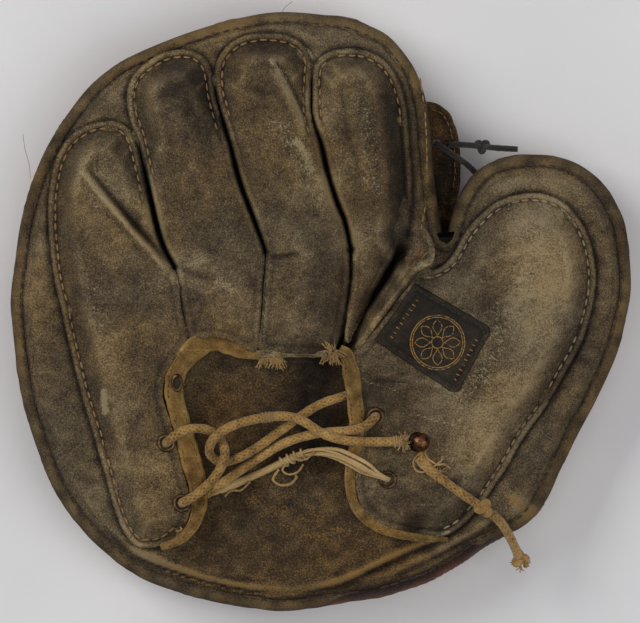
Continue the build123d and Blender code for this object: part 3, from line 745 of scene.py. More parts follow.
# ------------------------------------------------------------------ materials
class Graph:
    """A material's node tree, written as one call per node."""

    def __init__(self, name):
        self.material = bpy.data.materials.new(name)
        self.material.use_nodes = True
        self.tree = self.material.node_tree
        self.shader = self.tree.nodes["Principled BSDF"]

    def set(self, socket, value):
        if isinstance(value, bpy.types.NodeSocket):
            self.tree.links.new(value, socket)
        else:
            socket.default_value = value

    def add(self, kind, inputs, output=0, **settings):
        made = self.tree.nodes.new(kind)
        for key, value in settings.items():
            setattr(made, key, value)
        for key, value in inputs.items():
            self.set(made.inputs[key], value)
        return made.outputs[output]

    def math(self, operation, a, b, clamp=False):
        return self.add("ShaderNodeMath", {0: a, 1: b}, operation=operation, use_clamp=clamp)

    def plus(self, a, b, clamp=False):
        return self.math("ADD", a, b, clamp)

    def minus(self, a, b):
        return self.math("SUBTRACT", a, b)

    def times(self, a, b, clamp=False):
        return self.math("MULTIPLY", a, b, clamp)

    def place(self, scale=(1, 1, 1), turn=(0, 0, 0)):
        made = self.tree.nodes.new("ShaderNodeTexCoord").outputs["Object"]
        return self.add("ShaderNodeMapping", {"Vector": made, "Scale": scale, "Rotation": turn})

    def noise(self, scale, detail=4.0, rough=0.6, vector=None, warp=0.0):
        """Noise stretched to about 0 to 1."""
        inputs = {"Vector": vector or self.place(), "Scale": scale, "Detail": detail, "Roughness": rough}
        raw = self.add("ShaderNodeTexNoise", {**inputs, "Distortion": warp})
        return self.add("ShaderNodeMapRange", {"Value": raw, "From Min": 0.28, "From Max": 0.72})

    def cells(self, scale):
        return self.add("ShaderNodeTexVoronoi", {"Vector": self.place(), "Scale": scale},
                        output="Distance", feature="DISTANCE_TO_EDGE")

    def value(self, name):
        return self.add("ShaderNodeAttribute", {}, output="Fac", attribute_name=name)

    def ramp(self, fac, stops):
        made = self.tree.nodes.new("ShaderNodeValToRGB")
        self.set(made.inputs["Fac"], fac)
        while len(made.color_ramp.elements) < len(stops):
            made.color_ramp.elements.new(0.5)
        for element, (place, color) in zip(made.color_ramp.elements, stops):
            element.position = place
            element.color = (*color, 1)
        return made.outputs["Color"]

    def shades(self, fac, places, seen):
        """A ramp through colours given as they are seen, 0 to 255."""
        return self.ramp(fac, [(place, srgb(*color)) for place, color in zip(places, seen)])

    def mix(self, fac, a, b, blend="MIX"):
        made = self.tree.nodes.new("ShaderNodeMix")
        made.data_type = "RGBA"
        made.blend_type = blend
        for socket, value in ((made.inputs[0], fac), (made.inputs[6], a), (made.inputs[7], b)):
            self.set(socket, value)
        return made.outputs[2]

    def finish(self, color, roughness, height, distance, strength, **constants):
        self.set(self.shader.inputs["Base Color"], color)
        self.set(self.shader.inputs["Roughness"], roughness)
        bump = self.add("ShaderNodeBump", {"Height": height, "Distance": distance, "Strength": strength})
        self.set(self.shader.inputs["Normal"], bump)
        for key, value in constants.items():
            self.shader.inputs[key.replace("_", " ")].default_value = value
        return self.material


def srgb(r, g, b):
    """A colour as it is seen, 0 to 255, in the linear values that shaders use."""
    return tuple(((c / 255 + 0.055) / 1.055) ** 2.4 if c > 10 else c / 255 / 12.92 for c in (r, g, b))


RIDGE_WEAR = FOLD_SHADE = 0.34   # how much lighter or darker each millimetre proud or low makes the leather: lighter is wear on ridges, darker is painted shade in folds


def leather(name, dark, middle, tan, pale, tone=0.5, mottle=0.34, speckle=1.3, rough=0.84,
            bare=(170, 156, 122), other=None):
    """Worn leather: mottled and speckled, rubbed pale on its ridges, painted shade in its folds, with bare flecks.

    Where the point value "other" is set, the other colours take over.
    """
    g = Graph(name)
    broad = g.noise(34, 5, 0.62, warp=0.6)
    blotch = g.noise(150, 5, 0.62, warp=0.4)
    fleck = g.noise(1150, 4, 0.85)
    dust = g.noise(2000, 3, 0.8)
    level = g.plus(g.times(g.minus(broad, 0.5), mottle),
                   g.times(g.minus(blotch, 0.5), 0.6 * mottle))
    grain = g.minus(g.plus(g.times(fleck, 0.5), g.times(dust, 0.5)), 0.5)
    level = g.plus(level, g.times(grain, speckle))
    ridge = g.times(g.math("MAXIMUM", g.value("proud"), 0.0), RIDGE_WEAR)
    # painted shade: darker where the surface lies low among its surroundings
    fold_shade = g.times(g.math("MINIMUM", g.value("proud"), 0.0), FOLD_SHADE)
    level = g.plus(level, g.plus(ridge, fold_shade))
    specks = g.times(g.minus(g.noise(1250, 3, 0.8), 0.78), 2.6, clamp=True)
    lines = g.plus(g.noise(1.0, 3, 0.5, g.place((26, 700, 40), (0, 0, 0.9))),
                   g.noise(1.0, 3, 0.5, g.place((30, 620, 40), (0, 0, -0.5))))
    scratches = g.times(g.minus(lines, 1.45), 1.6, clamp=True)
    level = g.plus(level, g.plus(g.times(specks, 0.55), g.times(scratches, 0.2)))
    # rubbed lighter, and darker in marked places, some of them painted shade
    rub_and_shade = g.value("rub_and_shade")
    level = g.plus(level, g.times(rub_and_shade, g.plus(0.55, g.times(fleck, 0.9))))
    level = g.plus(level, tone, clamp=True)
    places = (0.05, 0.42, 0.72, 0.98)
    color = g.shades(level, places, (dark, middle, tan, pale))
    if other:
        color = g.mix(g.value("other"), color, g.shades(level, places, other))
    warm = g.ramp(g.noise(22, 3, 0.5), [(0.3, (0.92, 0.95, 1.0)), (0.75, (1.1, 1.0, 0.84))])
    color = g.mix(0.8, color, warm, "MULTIPLY")
    fine = g.noise(950, 5, 0.85)
    limit = g.minus(1.17, g.times(g.value("scuff"), 0.8))
    limit = g.minus(limit, g.times(g.noise(210, 3, 0.6), 0.2))
    flakes = g.times(g.minus(fine, limit), 14.0, clamp=True)
    color = g.mix(g.times(flakes, 0.8), color, (*srgb(*bare), 1))
    pores = g.cells(1250)
    height = g.plus(g.times(pores, 1.2), g.times(fleck, 0.9))
    height = g.plus(height, g.times(g.noise(230, 5, 0.65), 1.7))
    rough_map = g.add("ShaderNodeMapRange", {"Value": broad, "To Min": rough - 0.1, "To Max": rough + 0.1})
    return g.finish(color, rough_map, height, 0.0006, 0.9, Specular_IOR_Level=0.22)


def cord_material(name, dark, middle, pale, scale=900, rough=0.86):
    """Braided cotton: painted shade in the hollows and painted highlight on the crowns, fibres and grease spots."""
    g = Graph(name)
    fibre = g.noise(scale, 4, 0.7)
    grease = g.noise(70, 4, 0.6, warp=0.5)
    proud = g.value("proud")
    level = g.plus(g.times(fibre, 0.45), g.times(grease, 0.4))
    # painted light: the strands' crowns lighter, the hollows between them darker
    level = g.plus(level, g.times(proud, 0.5), clamp=True)
    color = g.shades(level, (0.04, 0.42, 0.9), (dark, middle, pale))
    height = g.plus(fibre, g.times(g.noise(scale * 2.4, 2, 0.6), 0.7))
    return g.finish(color, rough, height, 0.0003, 0.8, Sheen_Weight=0.2, Sheen_Roughness=0.5,
                    Specular_IOR_Level=0.25)


def metal(name, bright, tarnish, rough=0.38):
    """Old plated brass: tarnish in blotches, fine scratches."""
    g = Graph(name)
    stain = g.noise(420, 5, 0.65, warp=0.4)
    scuff = g.noise(1.0, 3, 0.6, g.place((300, 4200, 900), (0, 0, 0.5)))
    color = g.shades(g.plus(g.times(stain, 0.75), g.times(scuff, 0.25)), (0.25, 0.8), (tarnish, bright))
    roughness = g.add("ShaderNodeMapRange", {"Value": stain, "To Min": rough + 0.25, "To Max": rough})
    return g.finish(color, roughness, g.plus(scuff, stain), 0.00008, 0.6, Metallic=0.9)


STALL = leather("stall_leather_worn", (20, 16, 12), (70, 59, 45), (120, 102, 74), (166, 148, 112),
                tone=0.53, speckle=1.2)
THUMB = leather("thumb_leather_worn", (27, 22, 17), (70, 59, 45), (122, 106, 80), (160, 144, 112),
                tone=0.55, speckle=1.15)
LINING = leather("heel_leather_worn", (21, 16, 11), (57, 45, 31), (98, 78, 50), (138, 112, 72),
                 tone=0.53, speckle=1.5, bare=(146, 112, 58),
                 other=((26, 21, 16), (72, 61, 47), (112, 96, 70), (148, 130, 98)))
WELT = leather("welt_leather_worn", (26, 20, 14), (64, 52, 36), (98, 80, 53), (126, 106, 72),
               tone=0.48, mottle=0.3, bare=(134, 106, 62))
PALM = leather("palm_leather_worn", (36, 22, 13), (96, 57, 33), (144, 86, 49), (174, 118, 73),
               rough=0.62, bare=(170, 110, 66))
BINDING = leather("binding_leather_worn", (52, 37, 18), (112, 86, 46), (148, 118, 68), (176, 146, 94),
                  mottle=0.4, speckle=0.8, bare=(168, 140, 90))
PALE_BINDING = leather("centre_binding_worn", (52, 42, 28), (114, 96, 66), (142, 122, 88), (160, 142, 108),
                       tone=0.54, mottle=0.4)
PATCH_HIDE = leather("patch_leather_worn", (16, 14, 12), (44, 38, 31), (72, 62, 48), (112, 98, 74),
                     tone=0.42, speckle=0.55, bare=(120, 104, 74))
WEB = leather("web_leather_worn", (18, 13, 9), (50, 37, 24), (100, 76, 46), (132, 104, 64),
              tone=0.42, mottle=0.6, bare=(130, 100, 58))
LACE = cord_material("lace_cotton", (92, 64, 28), (152, 118, 62), (190, 156, 96))
YARN = cord_material("lace_yarn_bare", (112, 86, 48), (176, 145, 92), (212, 186, 136), 1500)
COLLAR = cord_material("lace_fray_ochre", (84, 60, 30), (156, 122, 70), (194, 162, 108), 1500)
THREAD = cord_material("stitch_thread_ochre", (82, 60, 30), (146, 114, 64), (186, 154, 100), 1800)
PALE_THREAD = cord_material("stitch_thread_pale", (88, 74, 52), (150, 132, 98), (188, 170, 134), 1800)
DARK_THREAD = cord_material("stitch_thread_dark", (18, 14, 10), (44, 33, 22), (78, 60, 38), 1800)
THONG_LEATHER = cord_material("thong_rawhide", (10, 10, 10), (32, 31, 28), (92, 90, 80), 1300, 0.7)
FUZZ = cord_material("crotch_fuzz", (62, 42, 24), (112, 80, 46), (146, 110, 68), 1500)
HAIR = cord_material("loose_hair", (70, 44, 34), (120, 84, 66), (150, 112, 92), 1500)
BRASS = metal("eyelet_brass_tarnished", (120, 94, 66), (30, 23, 18))
STUD_METAL = metal("stud_copper_worn", (140, 94, 62), (20, 15, 13), 0.2)
JAPANNED = metal("stud_collar_black", (52, 50, 48), (14, 13, 12), 0.3)


def gilding():
    """Gilt that has mostly rubbed away."""
    g = Graph("patch_gilt_rubbed")
    left = g.math("GREATER_THAN", g.noise(900, 4, 0.75), 0.42)
    color = g.mix(left, (*srgb(52, 44, 34), 1), (*srgb(142, 108, 54), 1))
    return g.finish(color, 0.62, g.noise(2400, 3, 0.6), 0.0001, 0.5, Specular_IOR_Level=0.4)


GILT = gilding()


# ------------------------------------------------------------------ pieces
CREASE_TOP = np.array((56.0, 34.0))
CREASE_HEEL = np.array((-5.0, -136.0))
CREASE_WAY = (CREASE_HEEL - CREASE_TOP) / np.linalg.norm(CREASE_HEEL - CREASE_TOP)
CREASE_ACROSS = np.array((-CREASE_WAY[1], CREASE_WAY[0]))
POCKET_CENTRE = np.array((8.0, 6.0))
POCKET_RADIUS, POCKET_DEPTH = 56.0, 9.6
WELT_STITCHES = (5.2, 33.2)   # inset and height


def level_at(z):
    """A height function for a level surface."""
    return lambda q: np.full(len(q), z)


def settle(obj, slot, body, *nodes):
    """The piece's slot (not used), the CAD nodes that it replaces and the body that it rides."""
    if nodes:
        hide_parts(*nodes)
    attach(obj, body)


def bend_across(obj):
    """Bakes the piece's transform into its mesh."""
    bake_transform(obj)


def palm_height(q):
    """The palm, seen from below: a flat ring round a shallow worn pocket."""
    away = np.linalg.norm(q - POCKET_CENTRE, axis=1)
    pocket = POCKET_DEPTH * np.clip(1 - (away / POCKET_RADIUS) ** 2, 0, 1) ** 1.2
    across = (q - CREASE_TOP) @ CREASE_ACROSS
    crease = 2.4 * bell(across, 5.0) * np.clip((away - 20) / 40, 0, 1)
    puckers = 0.5 * (1 + lumps(q, 18, 21)) + 0.25 * (1 + lumps(q, 7, 22))
    return pocket + crease + 0.8 * np.clip(puckers, 0, 2)


def palm_piece():
    """Palm leather: from the seam on the back, out round the side and under."""
    along_side = [0, 1.5, 3, 5, 7.5, 10, 12.5, 15, 18, 22, 26, 30]
    inward = [6.4, 4.7, 3.0, 1.2, 0.0, 0.35, 2.2, 5.2, 9.5, 15.5, 22, 30]
    heights = [32.0, 31.4, 30.0, 26.6, 21.6, 15.6, 9.8, 5.8, 2.7, 0.9, 0.2, 0.0]
    q, depth, faces = sheet_grid(SILHOUETTE, 1.5)
    _, near = SILHOUETTE.inside(q)
    way = (q - near) / np.maximum(depth, 1e-6)[:, None]
    rim = depth < 0.4
    way[rim] = INWARD[np.linalg.norm(q[rim][:, None] - SILHOUETTE.p[None], axis=2).argmin(1)]
    side = depth < along_side[-1]
    moved = q.copy()
    moved[side] = near[side] + way[side] * np.interp(depth[side], along_side, inward)[:, None]
    under = np.clip((depth - 16) / 14, 0, 1)
    z = np.interp(depth, along_side, heights) + under * palm_height(moved)
    round_side = bell(depth - 8, 7)
    bulge = 0.5 * lumps(moved, 24, 31) * round_side
    moved = moved - way * bulge[:, None] * 0.6
    z = z + 0.5 * lumps(moved + 40, 20, 32) * bell(depth - 6, 4)
    verts = np.column_stack([moved, np.maximum(z, 0.0)])
    obj = make_mesh("palm_leather", verts, [face[::-1] for face in faces], PALM)
    proud = -proud_of_surroundings(obj, 14) + 0.5 * round_side * lumps(moved, 30, 33)
    set_values(obj, "proud", np.clip(proud, -2, 2))
    mark_wear_and_shade(obj, moved)
    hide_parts("palm_leather_finger_side", "palm_leather_thumb_side",
                "padding_finger_side", "padding_thumb_side")
    bend_across(obj)


def welt_piece():
    """The folded strip that covers the seam round the edge."""
    line = SILHOUETTE.p
    corner = np.linalg.norm(line - (106, -68), axis=1)
    wide = 6.3 + 0.5 * lumps(line, 26, 41) + 3.4 * bell(corner, 34)
    bare = smooth(1.4 - np.abs(line[:, 0] - 42) / 38) * (line[:, 1] < -80)
    ruffle = 0.35 * lumps(line, 17, 42)
    across = np.array([-0.02, 0.0, 0.14, 0.34, 0.56, 0.78, 0.92, 1.0, 0.97])
    height = np.array([26.6, 28.2, 30.6, 32.4, 33.3, 33.3, 32.9, 32.2, 31.0])
    # lighter on the rubbed shoulder; darker towards both edges where the strip turns down, which is painted shade
    worn = np.array([-0.2, 0.1, 0.3, 0.5, 0.4, 0.1, -0.3, -0.6, -0.8])
    drawn_in = (4.2 + lumps(line, 9, 44)[:, None]) * bare[:, None]   # where the palm leather shows
    flat = line[:, None] + INWARD[:, None] * (0.5 + drawn_in + across[None] * wide[:, None])[..., None]
    z = height[None] + ruffle[:, None] * np.sin(np.clip(across, 0, 1) * math.pi)[None]
    rings = np.concatenate([flat, z[..., None]], 2)
    obj = bridge("edge_welt", rings, WELT, closed_rings=False, closed_run=True)
    q = flat.reshape(-1, 2)
    set_values(obj, "proud", np.tile(worn, len(line)) + 0.35 * lumps(q, 11, 43))
    mark_wear_and_shade(obj, q)
    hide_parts("edge_welt_finger_side", "edge_welt_thumb_side")
    bend_across(obj)
    seam = offset_line(np.vstack([line, line[:1]]), SILHOUETTE.turn * WELT_STITCHES[0])
    thread = stitches("welt_stitching", seam, level_at(WELT_STITCHES[1]), DARK_THREAD, pitch=4.6, seed=2)
    bend_across(thread)


def base_piece():
    """Back leather: the padded ring, the lining in the wrist opening and the heel."""
    obj = leather_sheet("back_base_leather", SILHOUETTE, base_height, LINING, 1.25, rim=SEAM_D, thick=0)
    points = np.array([v.co[:2] for v in obj.data.vertices]) / MM
    in_heel = smooth((-86 - points[:, 1]) / 16) * smooth((76 - np.abs(points[:, 0] + 10)) / 30)
    in_opening = np.exp(-(((points[:, 0] + 22) / 50) ** 4 + ((points[:, 1] + 60) / 44) ** 4))
    set_values(obj, "other", 1 - np.clip(in_heel + in_opening, 0, 1))
    sewn = sewn_distance(points)
    # painted shadow: a dark line on the back leather along the panels' sewn edges, where they overlap it
    rub_and_shade = np.empty(len(points))
    layer = obj.data.attributes["rub_and_shade"].data
    layer.foreach_get("value", rub_and_shade)
    layer.foreach_set("value", rub_and_shade - 0.35 * bell(sewn, 1.0))
    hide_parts("base_leather_finger_side", "base_leather_thumb_side")
    bend_across(obj)


def panels():
    """The stalls and panels of the back, and the gusset in the crotch."""
    for name, outline, material, node, body in (
        ("left_back_leather", LEFT_PANEL, STALL, "left_back_panel", "finger_side"),
        ("ring_finger_leather", RING_STALL, STALL, "ring_finger_stall", "finger_side"),
        ("middle_finger_leather", MIDDLE_STALL, STALL, "middle_finger_stall", "finger_side"),
        ("index_finger_leather", INDEX_STALL, STALL, "index_finger_stall", "finger_side"),
        ("thumb_back_leather", THUMB_PANEL, THUMB, "thumb_back_panel", "thumb_side"),
    ):
        sheet = leather_sheet(name, Line(outline, closed=True), back_height, material, 0.85)
        settle(sheet, "back_leather", body, node)
    outline = Line(CROTCH_GUSSET, closed=True)
    gusset = leather_sheet("crotch_gusset_leather", outline, gusset_height, STALL, 0.8)
    settle(gusset, "back_leather", "thumb_side", "crotch_gusset")


def gusset_height(q):
    """A roll that turns down into the valley beside the index stall."""
    q = np.asarray(q, float)
    gap, _, _, _ = VALLEY_LINES[-1][0].measure(q)
    seam, _ = Line(THUMB_PANEL, closed=True).inside(q)
    roll = 48.0 - 15 * np.exp(-((gap / 4.4) ** 1.6)) - 2.2 * bell(seam, 1.6)
    end = smooth((q[:, 1] - 17) / 15)
    return roll - 9.0 * end + 0.4 * lumps(q, 9, 51)


def seam_rows():
    """Contrast stitching a few millimetres inside each panel's sewn edge."""
    for seed, name, outline, start, end in (
        (60, "left_panel", LEFT_PANEL, (-62, -99), (-75.5, 45)),
        (61, "ring_stall", RING_STALL, (-78, 60), (-42, 78)),
        (62, "middle_stall", MIDDLE_STALL, (-44, 86), (-2, 80)),
        (63, "index_stall", INDEX_STALL, (-3.8, 86), (39.4, 84)),
        (64, "thumb_panel", THUMB_PANEL, (46, 18), (56, -101.5)),
    ):
        on_thumb = outline is THUMB_PANEL
        thread = stitches(name + "_stitching", inside_row(outline, start, end), back_height,
                          PALE_THREAD if on_thumb else THREAD, seed=seed)
        settle(thread, "back_leather", "thumb_side" if on_thumb else "finger_side")
    side = [(44.6, 106), (46.6, 92), (47.6, 74), (47.8, 58), (46.4, 44), (44.8, 36)]
    ring_middle = [(-24.4, 24), (-25, 12), (-25.8, -2), (-26.6, -15)]
    little_ring = [(-64.6, 17), (-62.8, 8), (-61.2, -2), (-58.6, -11)]
    for name, points, height, material, pitch, radius, seed in (
        ("index_side_stitching", side, base_height, THREAD, 4.0, 0.36, 75),
        ("ring_middle_seam_stitching", ring_middle, back_height, DARK_THREAD, 3.4, 0.26, 70),
        ("little_ring_seam_stitching", little_ring, back_height, DARK_THREAD, 3.4, 0.26, 71),
    ):
        thread = stitches(name, through(points, 1.0), height, material, pitch, radius, seed)
        settle(thread, "back_leather", "finger_side")


def binding(name, shape, node, body, material=BINDING, end_sinks=1.0):
    """A strip folded over a free edge: a low rounded band with worn, uneven borders."""
    points, widths = shape
    line = through(points, 1.0)
    place = np.linspace(0, 1, len(line))
    wide = np.interp(place, np.linspace(0, 1, len(widths)), widths) * (1 + 0.05 * lumps(line, 8, 81))
    across = np.array([-0.5, -0.47, -0.36, -0.18, 0.0, 0.18, 0.36, 0.47, 0.5, 0.44, 0.0, -0.44])
    lift = np.array([-1.2, 0.0, 0.75, 1.0, 1.05, 1.0, 0.75, 0.0, -1.2, -2.3, -2.5, -2.3])
    left = leftwards(np.gradient(line, axis=0))
    flat = line[:, None] + left[:, None] * (across[None] * wide[:, None])[..., None]
    q = flat.reshape(-1, 2)
    wave = 0.35 * lumps(line, 14, 82) - 3.0 * smooth((place - 0.93) / 0.07) * end_sinks
    z = FLAP_Z + 0.2 + lift[None] + wave[:, None] + 0.12 * lumps(q, 3.2, 83).reshape(flat.shape[:2])
    obj = bridge(name, np.concatenate([flat, z[..., None]], 2), material)
    # pale on the rubbed folds at the borders; the underside darker, which is painted shade
    worn = [0.2, 0.7, 0.4, 0.0, -0.1, 0.0, 0.4, 0.7, 0.2, -0.5, -0.5, -0.5]
    set_values(obj, "proud", np.tile(worn, len(line)) + 0.25 * lumps(q, 6, 84))
    settle(obj, "binding_leather", body, node)
    for side, which in ((-1, "right"), (1, "left")):
        row = line + left * (side * 0.30 * wide)[:, None]
        thread = stitches(f"{name}_stitching_{which}", row[3:-3], level_at(FLAP_Z + 1.0), DARK_THREAD,
                          pitch=2.3, radius=0.17, seed=90 + side)
        settle(thread, "binding_leather", body)


def yarns(name, groups, material, body):
    """Small tubes as one piece of the lace."""
    settle(join_rings(name, groups, material), "lace", body)


def tuft(name, root, spread, reach, count, body, seed):
    """Frayed threads at a torn binding edge."""
    rng = np.random.default_rng(seed)
    groups = []
    for _ in range(count):
        start = np.array([root[0] + rng.uniform(-spread, spread), root[1] + rng.uniform(-1, 1), root[2]])
        way = np.array([rng.normal(0, 0.45), -1, rng.normal(0.1, 0.25)])
        t = np.linspace(0, 1, 9)[:, None]
        length = reach * rng.uniform(0.55, 1.25)
        curl = np.column_stack([rng.normal(0, 0.9) * t[:, 0] ** 2, 0 * t[:, 0], -1.5 * t[:, 0] ** 2])
        groups.append(tube_rings(start + way * length * t + curl, 0.2, 6))
    yarns(name, groups, COLLAR, body)


def eyelet_piece(name, at, body, lift=0.0, squeeze=1.0):
    """A rolled ring with its barrel, and a dark disc down in it as painted shadow."""
    top = FLAP_Z + 0.9 + lift
    profile = [(2.45, -4), (2.45, -0.4), (2.7, 0.35), (3.2, 0.62), (3.8, 0.4), (4.1, -0.1), (4.15, -0.6),
               (3.6, -0.6), (3.1, -0.9), (3.0, -4)]
    obj = lathe(name + "_ring", at, profile, BRASS, top)
    settle(obj, "eyelet_brass", body, name)
    floor = top - (0.35 if lift else 2.9)
    # painted shadow: a dark disc fills the hole
    hole = lathe(name + "_dark", at, [(0.0, 0), (1.6, 0), (2.7, 0.1)], DARK_THREAD, floor)
    for piece in (obj, hole):
        for v in piece.data.vertices:
            v.co.x = at[0] * MM + (v.co.x - at[0] * MM) * squeeze
    settle(hole, "back_leather", body)


def stud_piece():
    """The lace's round-headed stud and the collar under its head."""
    top = FLAP_Z + 4.6
    profile = [(0.01, 3.6), (1.3, 3.45), (2.6, 2.9), (3.6, 1.9), (4.2, 0.6), (4.15, -0.5), (3.2, -1.3),
               (1.7, -1.7), (1.5, -3), (1.6, -4.2), (3.2, -4.4), (3.3, -5)]
    obj = lathe("lace_stud_head", (STUD_AT[0] + 0.6, STUD_AT[1] + 0.1), profile, STUD_METAL, top, 48)
    collar = [(2.2, 0.3), (3.6, -0.1), (4.5, -0.9), (4.4, -1.7), (2.4, -2.0)]
    ring = lathe("lace_stud_collar_ring", (STUD_AT[0] - 0.9, STUD_AT[1] + 0.1), collar, JAPANNED, top, 48)
    settle(ring, "stud_steel", "thumb_side")
    settle(obj, "stud_steel", "thumb_side", "lace_stud")


def patch_piece():
    """The maker's patch: dark leather with its own stitching and plain gilt marks."""
    corners = np.array(PATCH)
    softness = [1.2, 3.0, 3.4, 1.6]
    outline = []
    for k, soft in enumerate(softness):
        here, before, after = corners[k], corners[k - 1], corners[(k + 1) % 4]
        back = (before - here) / np.linalg.norm(before - here)
        ahead = (after - here) / np.linalg.norm(after - here)
        outline += [here + back * 12, here + back * soft, here + (back + ahead) * soft * 0.3,
                    here + ahead * soft, here + ahead * 12]
    curve = Line(outline, closed=True)

    def height(q):
        depth, _ = curve.inside(q)
        groove = 0.4 * bell(depth - PATCH_STITCH_INSET, 0.5)
        edge = 0.8 * np.exp(-np.maximum(depth, 0) / 0.5)
        return back_height(q) + 1.25 - edge - groove + 0.25 * lumps(q, 7, 102)

    obj = leather_sheet("maker_patch_leather", curve, height, PATCH_HIDE, 0.6, thick=1.0)
    settle(obj, "patch_leather", "thumb_side", "maker_patch")
    row = offset_line(np.vstack([curve.p, curve.p[:1]]), curve.turn * PATCH_STITCH_INSET)
    thread = stitches("maker_patch_stitching", row, height, DARK_THREAD, pitch=2.9, radius=0.22, seed=101)
    settle(thread, "patch_leather", "thumb_side")
    gilt_piece(corners, curve.turn, height)


def gilt_piece(corners, turn, height):
    """A plain ring, an eight-petal rosette and two rows of beads on the patch."""
    middle = np.array(PATCH_RING_AT)
    groups = []

    def draw(flat, thick):
        groups.append(tube_rings(np.column_stack([flat, height(flat) + GILT_LIFT]), thick, 6))

    around = np.linspace(0, TURN, 60)
    for radius in (PATCH_RING_R, PATCH_RING_R - 0.9, 2.6):
        draw(middle + radius * np.column_stack([np.cos(around), np.sin(around)]), 0.26)
    for k in range(8):
        angle = TURN * k / 8
        for lean in (-1, 1):
            t = np.linspace(0, 1, 14)
            r = 3.0 + 7.2 * t
            petal = angle + lean * 0.30 * np.sin(t * math.pi)
            draw(middle + np.column_stack([r * np.cos(petal), r * np.sin(petal)]), 0.22)
    for start, end, inset in ((corners[0], corners[3], 5.4), (corners[2], corners[1], 3.8)):
        way = (end - start) / np.linalg.norm(end - start)
        inward = np.array([-way[1], way[0]]) * turn * -1
        for k in range(9):
            bead = start + way * (6 + 2.5 * k) + inward * inset
            draw(bead + inward * np.array([[-0.8], [0.0], [0.8]]), 0.3)
    settle(join_rings("maker_patch_gilt", groups, GILT), "patch_leather", "thumb_side")


def braided(name, path, thick, material, tight=2.7, around=28, contrast=2.6):
    """A round braid along a path."""
    rings = tube_rings(path, braid(thick, tight), around)
    obj = bridge(name, rings, material)
    out = np.linalg.norm(rings - path[:, None], axis=2).ravel()
    # lighter on the crowns of the strands, darker in the hollows: painted light and shade
    set_values(obj, "proud", (out - thick / 2) * contrast)
    return obj


def lace_run(name, points, node, body=None):
    """One visible stretch of the braided lace."""
    path = nurbs_path(name + "_route", points)
    obj = braided(name + "_braid", path, LACE_D, LACE)
    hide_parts(node)
    if body:
        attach(obj, body)
    else:
        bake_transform(obj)
    return path


def yarn_bundle(path, count, core, spread, radius, seed, end=1.0, wave=0.5):
    """Loose yarns side by side along a path; spread gives their distance from it at each place."""
    rng = np.random.default_rng(seed)
    _, side, up = frames_along(path)
    run = np.linspace(0, 1, len(path))
    groups = []
    for k in range(count):
        angle = TURN * k / count + rng.uniform(-0.3, 0.3) + rng.uniform(-0.8, 0.8) * run
        out = (core + spread(run)) * rng.uniform(0.45, 1.0) + 0.12 * np.sin(run * rng.uniform(10, 26) + k)
        drift = wave * np.sin(run * rng.uniform(5, 12) + rng.uniform(0, 6)) * spread(run)
        across = np.clip(out * np.cos(angle) + drift, -LACE_D * 0.88, LACE_D * 0.88)
        line = path + side * across[:, None] + up * (0.72 * out * np.sin(angle))[:, None]
        thick = radius * rng.uniform(0.8, 1.25)
        groups.append(tube_rings(line[run <= end][::2], twist_yarn(thick), 9))
    return groups


def twist_yarn(thick):
    """A yarn's two plies."""
    return lambda angle, run: thick * (0.9 + 0.16 * np.cos(2 * angle + run * 2.4))


def frayed_lace():
    """The lowest run: worn through to loose yarns at the right, wound and matted further left."""
    path = nurbs_path("lace_frayed_route", FRAYED_RUN)

    def spread(run):
        return 2.9 * smooth((run - 0.07) / 0.12) * smooth((0.58 - run) / 0.3) + 0.15

    groups = yarn_bundle(path, 13, 0.75, spread, 0.68, 5, end=0.64)
    last = path[int(0.50 * len(path)):]
    groups.append(tube_rings(last, braid(3.5), 24))
    groups += yarn_bundle(last, 7, 1.7, lambda run: 0.3 * np.ones_like(run), 0.3, 6)
    obj = join_rings("lace_frayed_yarns", groups, YARN)
    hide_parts("lace_frayed_run")
    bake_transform(obj)
    wound = path[int(0.46 * len(path)):int(0.60 * len(path))]
    wraps("lace_frayed_wraps", through(wound[::6], 0.12), 2.35, 4, 0.55, YARN, "finger_side", 11)
    curls = [
        [(-19, -71, 41.6), (-21.6, -75.4, 41), (-18.6, -78, 40.6), (-14, -77.6, 40.8), (-11.2, -74.8, 41.4),
         (-12, -72.8, 42)],
        [(-8, -68.6, 44), (-10.4, -72, 43.6), (-14.6, -73.2, 43), (-17.4, -71.4, 42.4), (-16, -68.8, 42.6)],
        [(-32, -76.6, 38.6), (-36, -80.4, 38), (-40.8, -80.8, 37.6), (-43.6, -83.6, 37)],
        [(-3, -63, 46), (-7, -66.4, 46), (-11, -66.4, 45.2), (-13.8, -64.2, 44)],
    ]
    thicks = (0.62, 0.5, 0.55, 0.5)
    groups = [tube_rings(through(points, 0.4), twist_yarn(thick), 9) for points, thick in zip(curls, thicks)]
    yarns("lace_loose_curls", groups, COLLAR, "finger_side")


def ragged_collar(name, at, way, reach, count, body, seed, thick=0.3, material=COLLAR):
    """Short fibres bursting out round the end of a cord."""
    rng = np.random.default_rng(seed)
    way = np.array(way, float) / np.linalg.norm(way)
    groups = []
    for _ in range(count):
        out = rng.normal(0, 1, 3)
        out -= way * (out @ way) * 0.75
        out[2] = abs(out[2]) * 0.5
        out /= np.linalg.norm(out)
        start = np.array(at, float) + way * rng.uniform(-1.6, 1.6) + out * 0.8
        t = np.linspace(0, 1, 8)[:, None]
        length = reach * rng.uniform(0.4, 1.15)
        bend = rng.normal(0, 0.9, 3) * t**2
        groups.append(tube_rings(start + out * length * t + bend, thick * rng.uniform(0.6, 1.2), 6))
    yarns(name, groups, material, body)


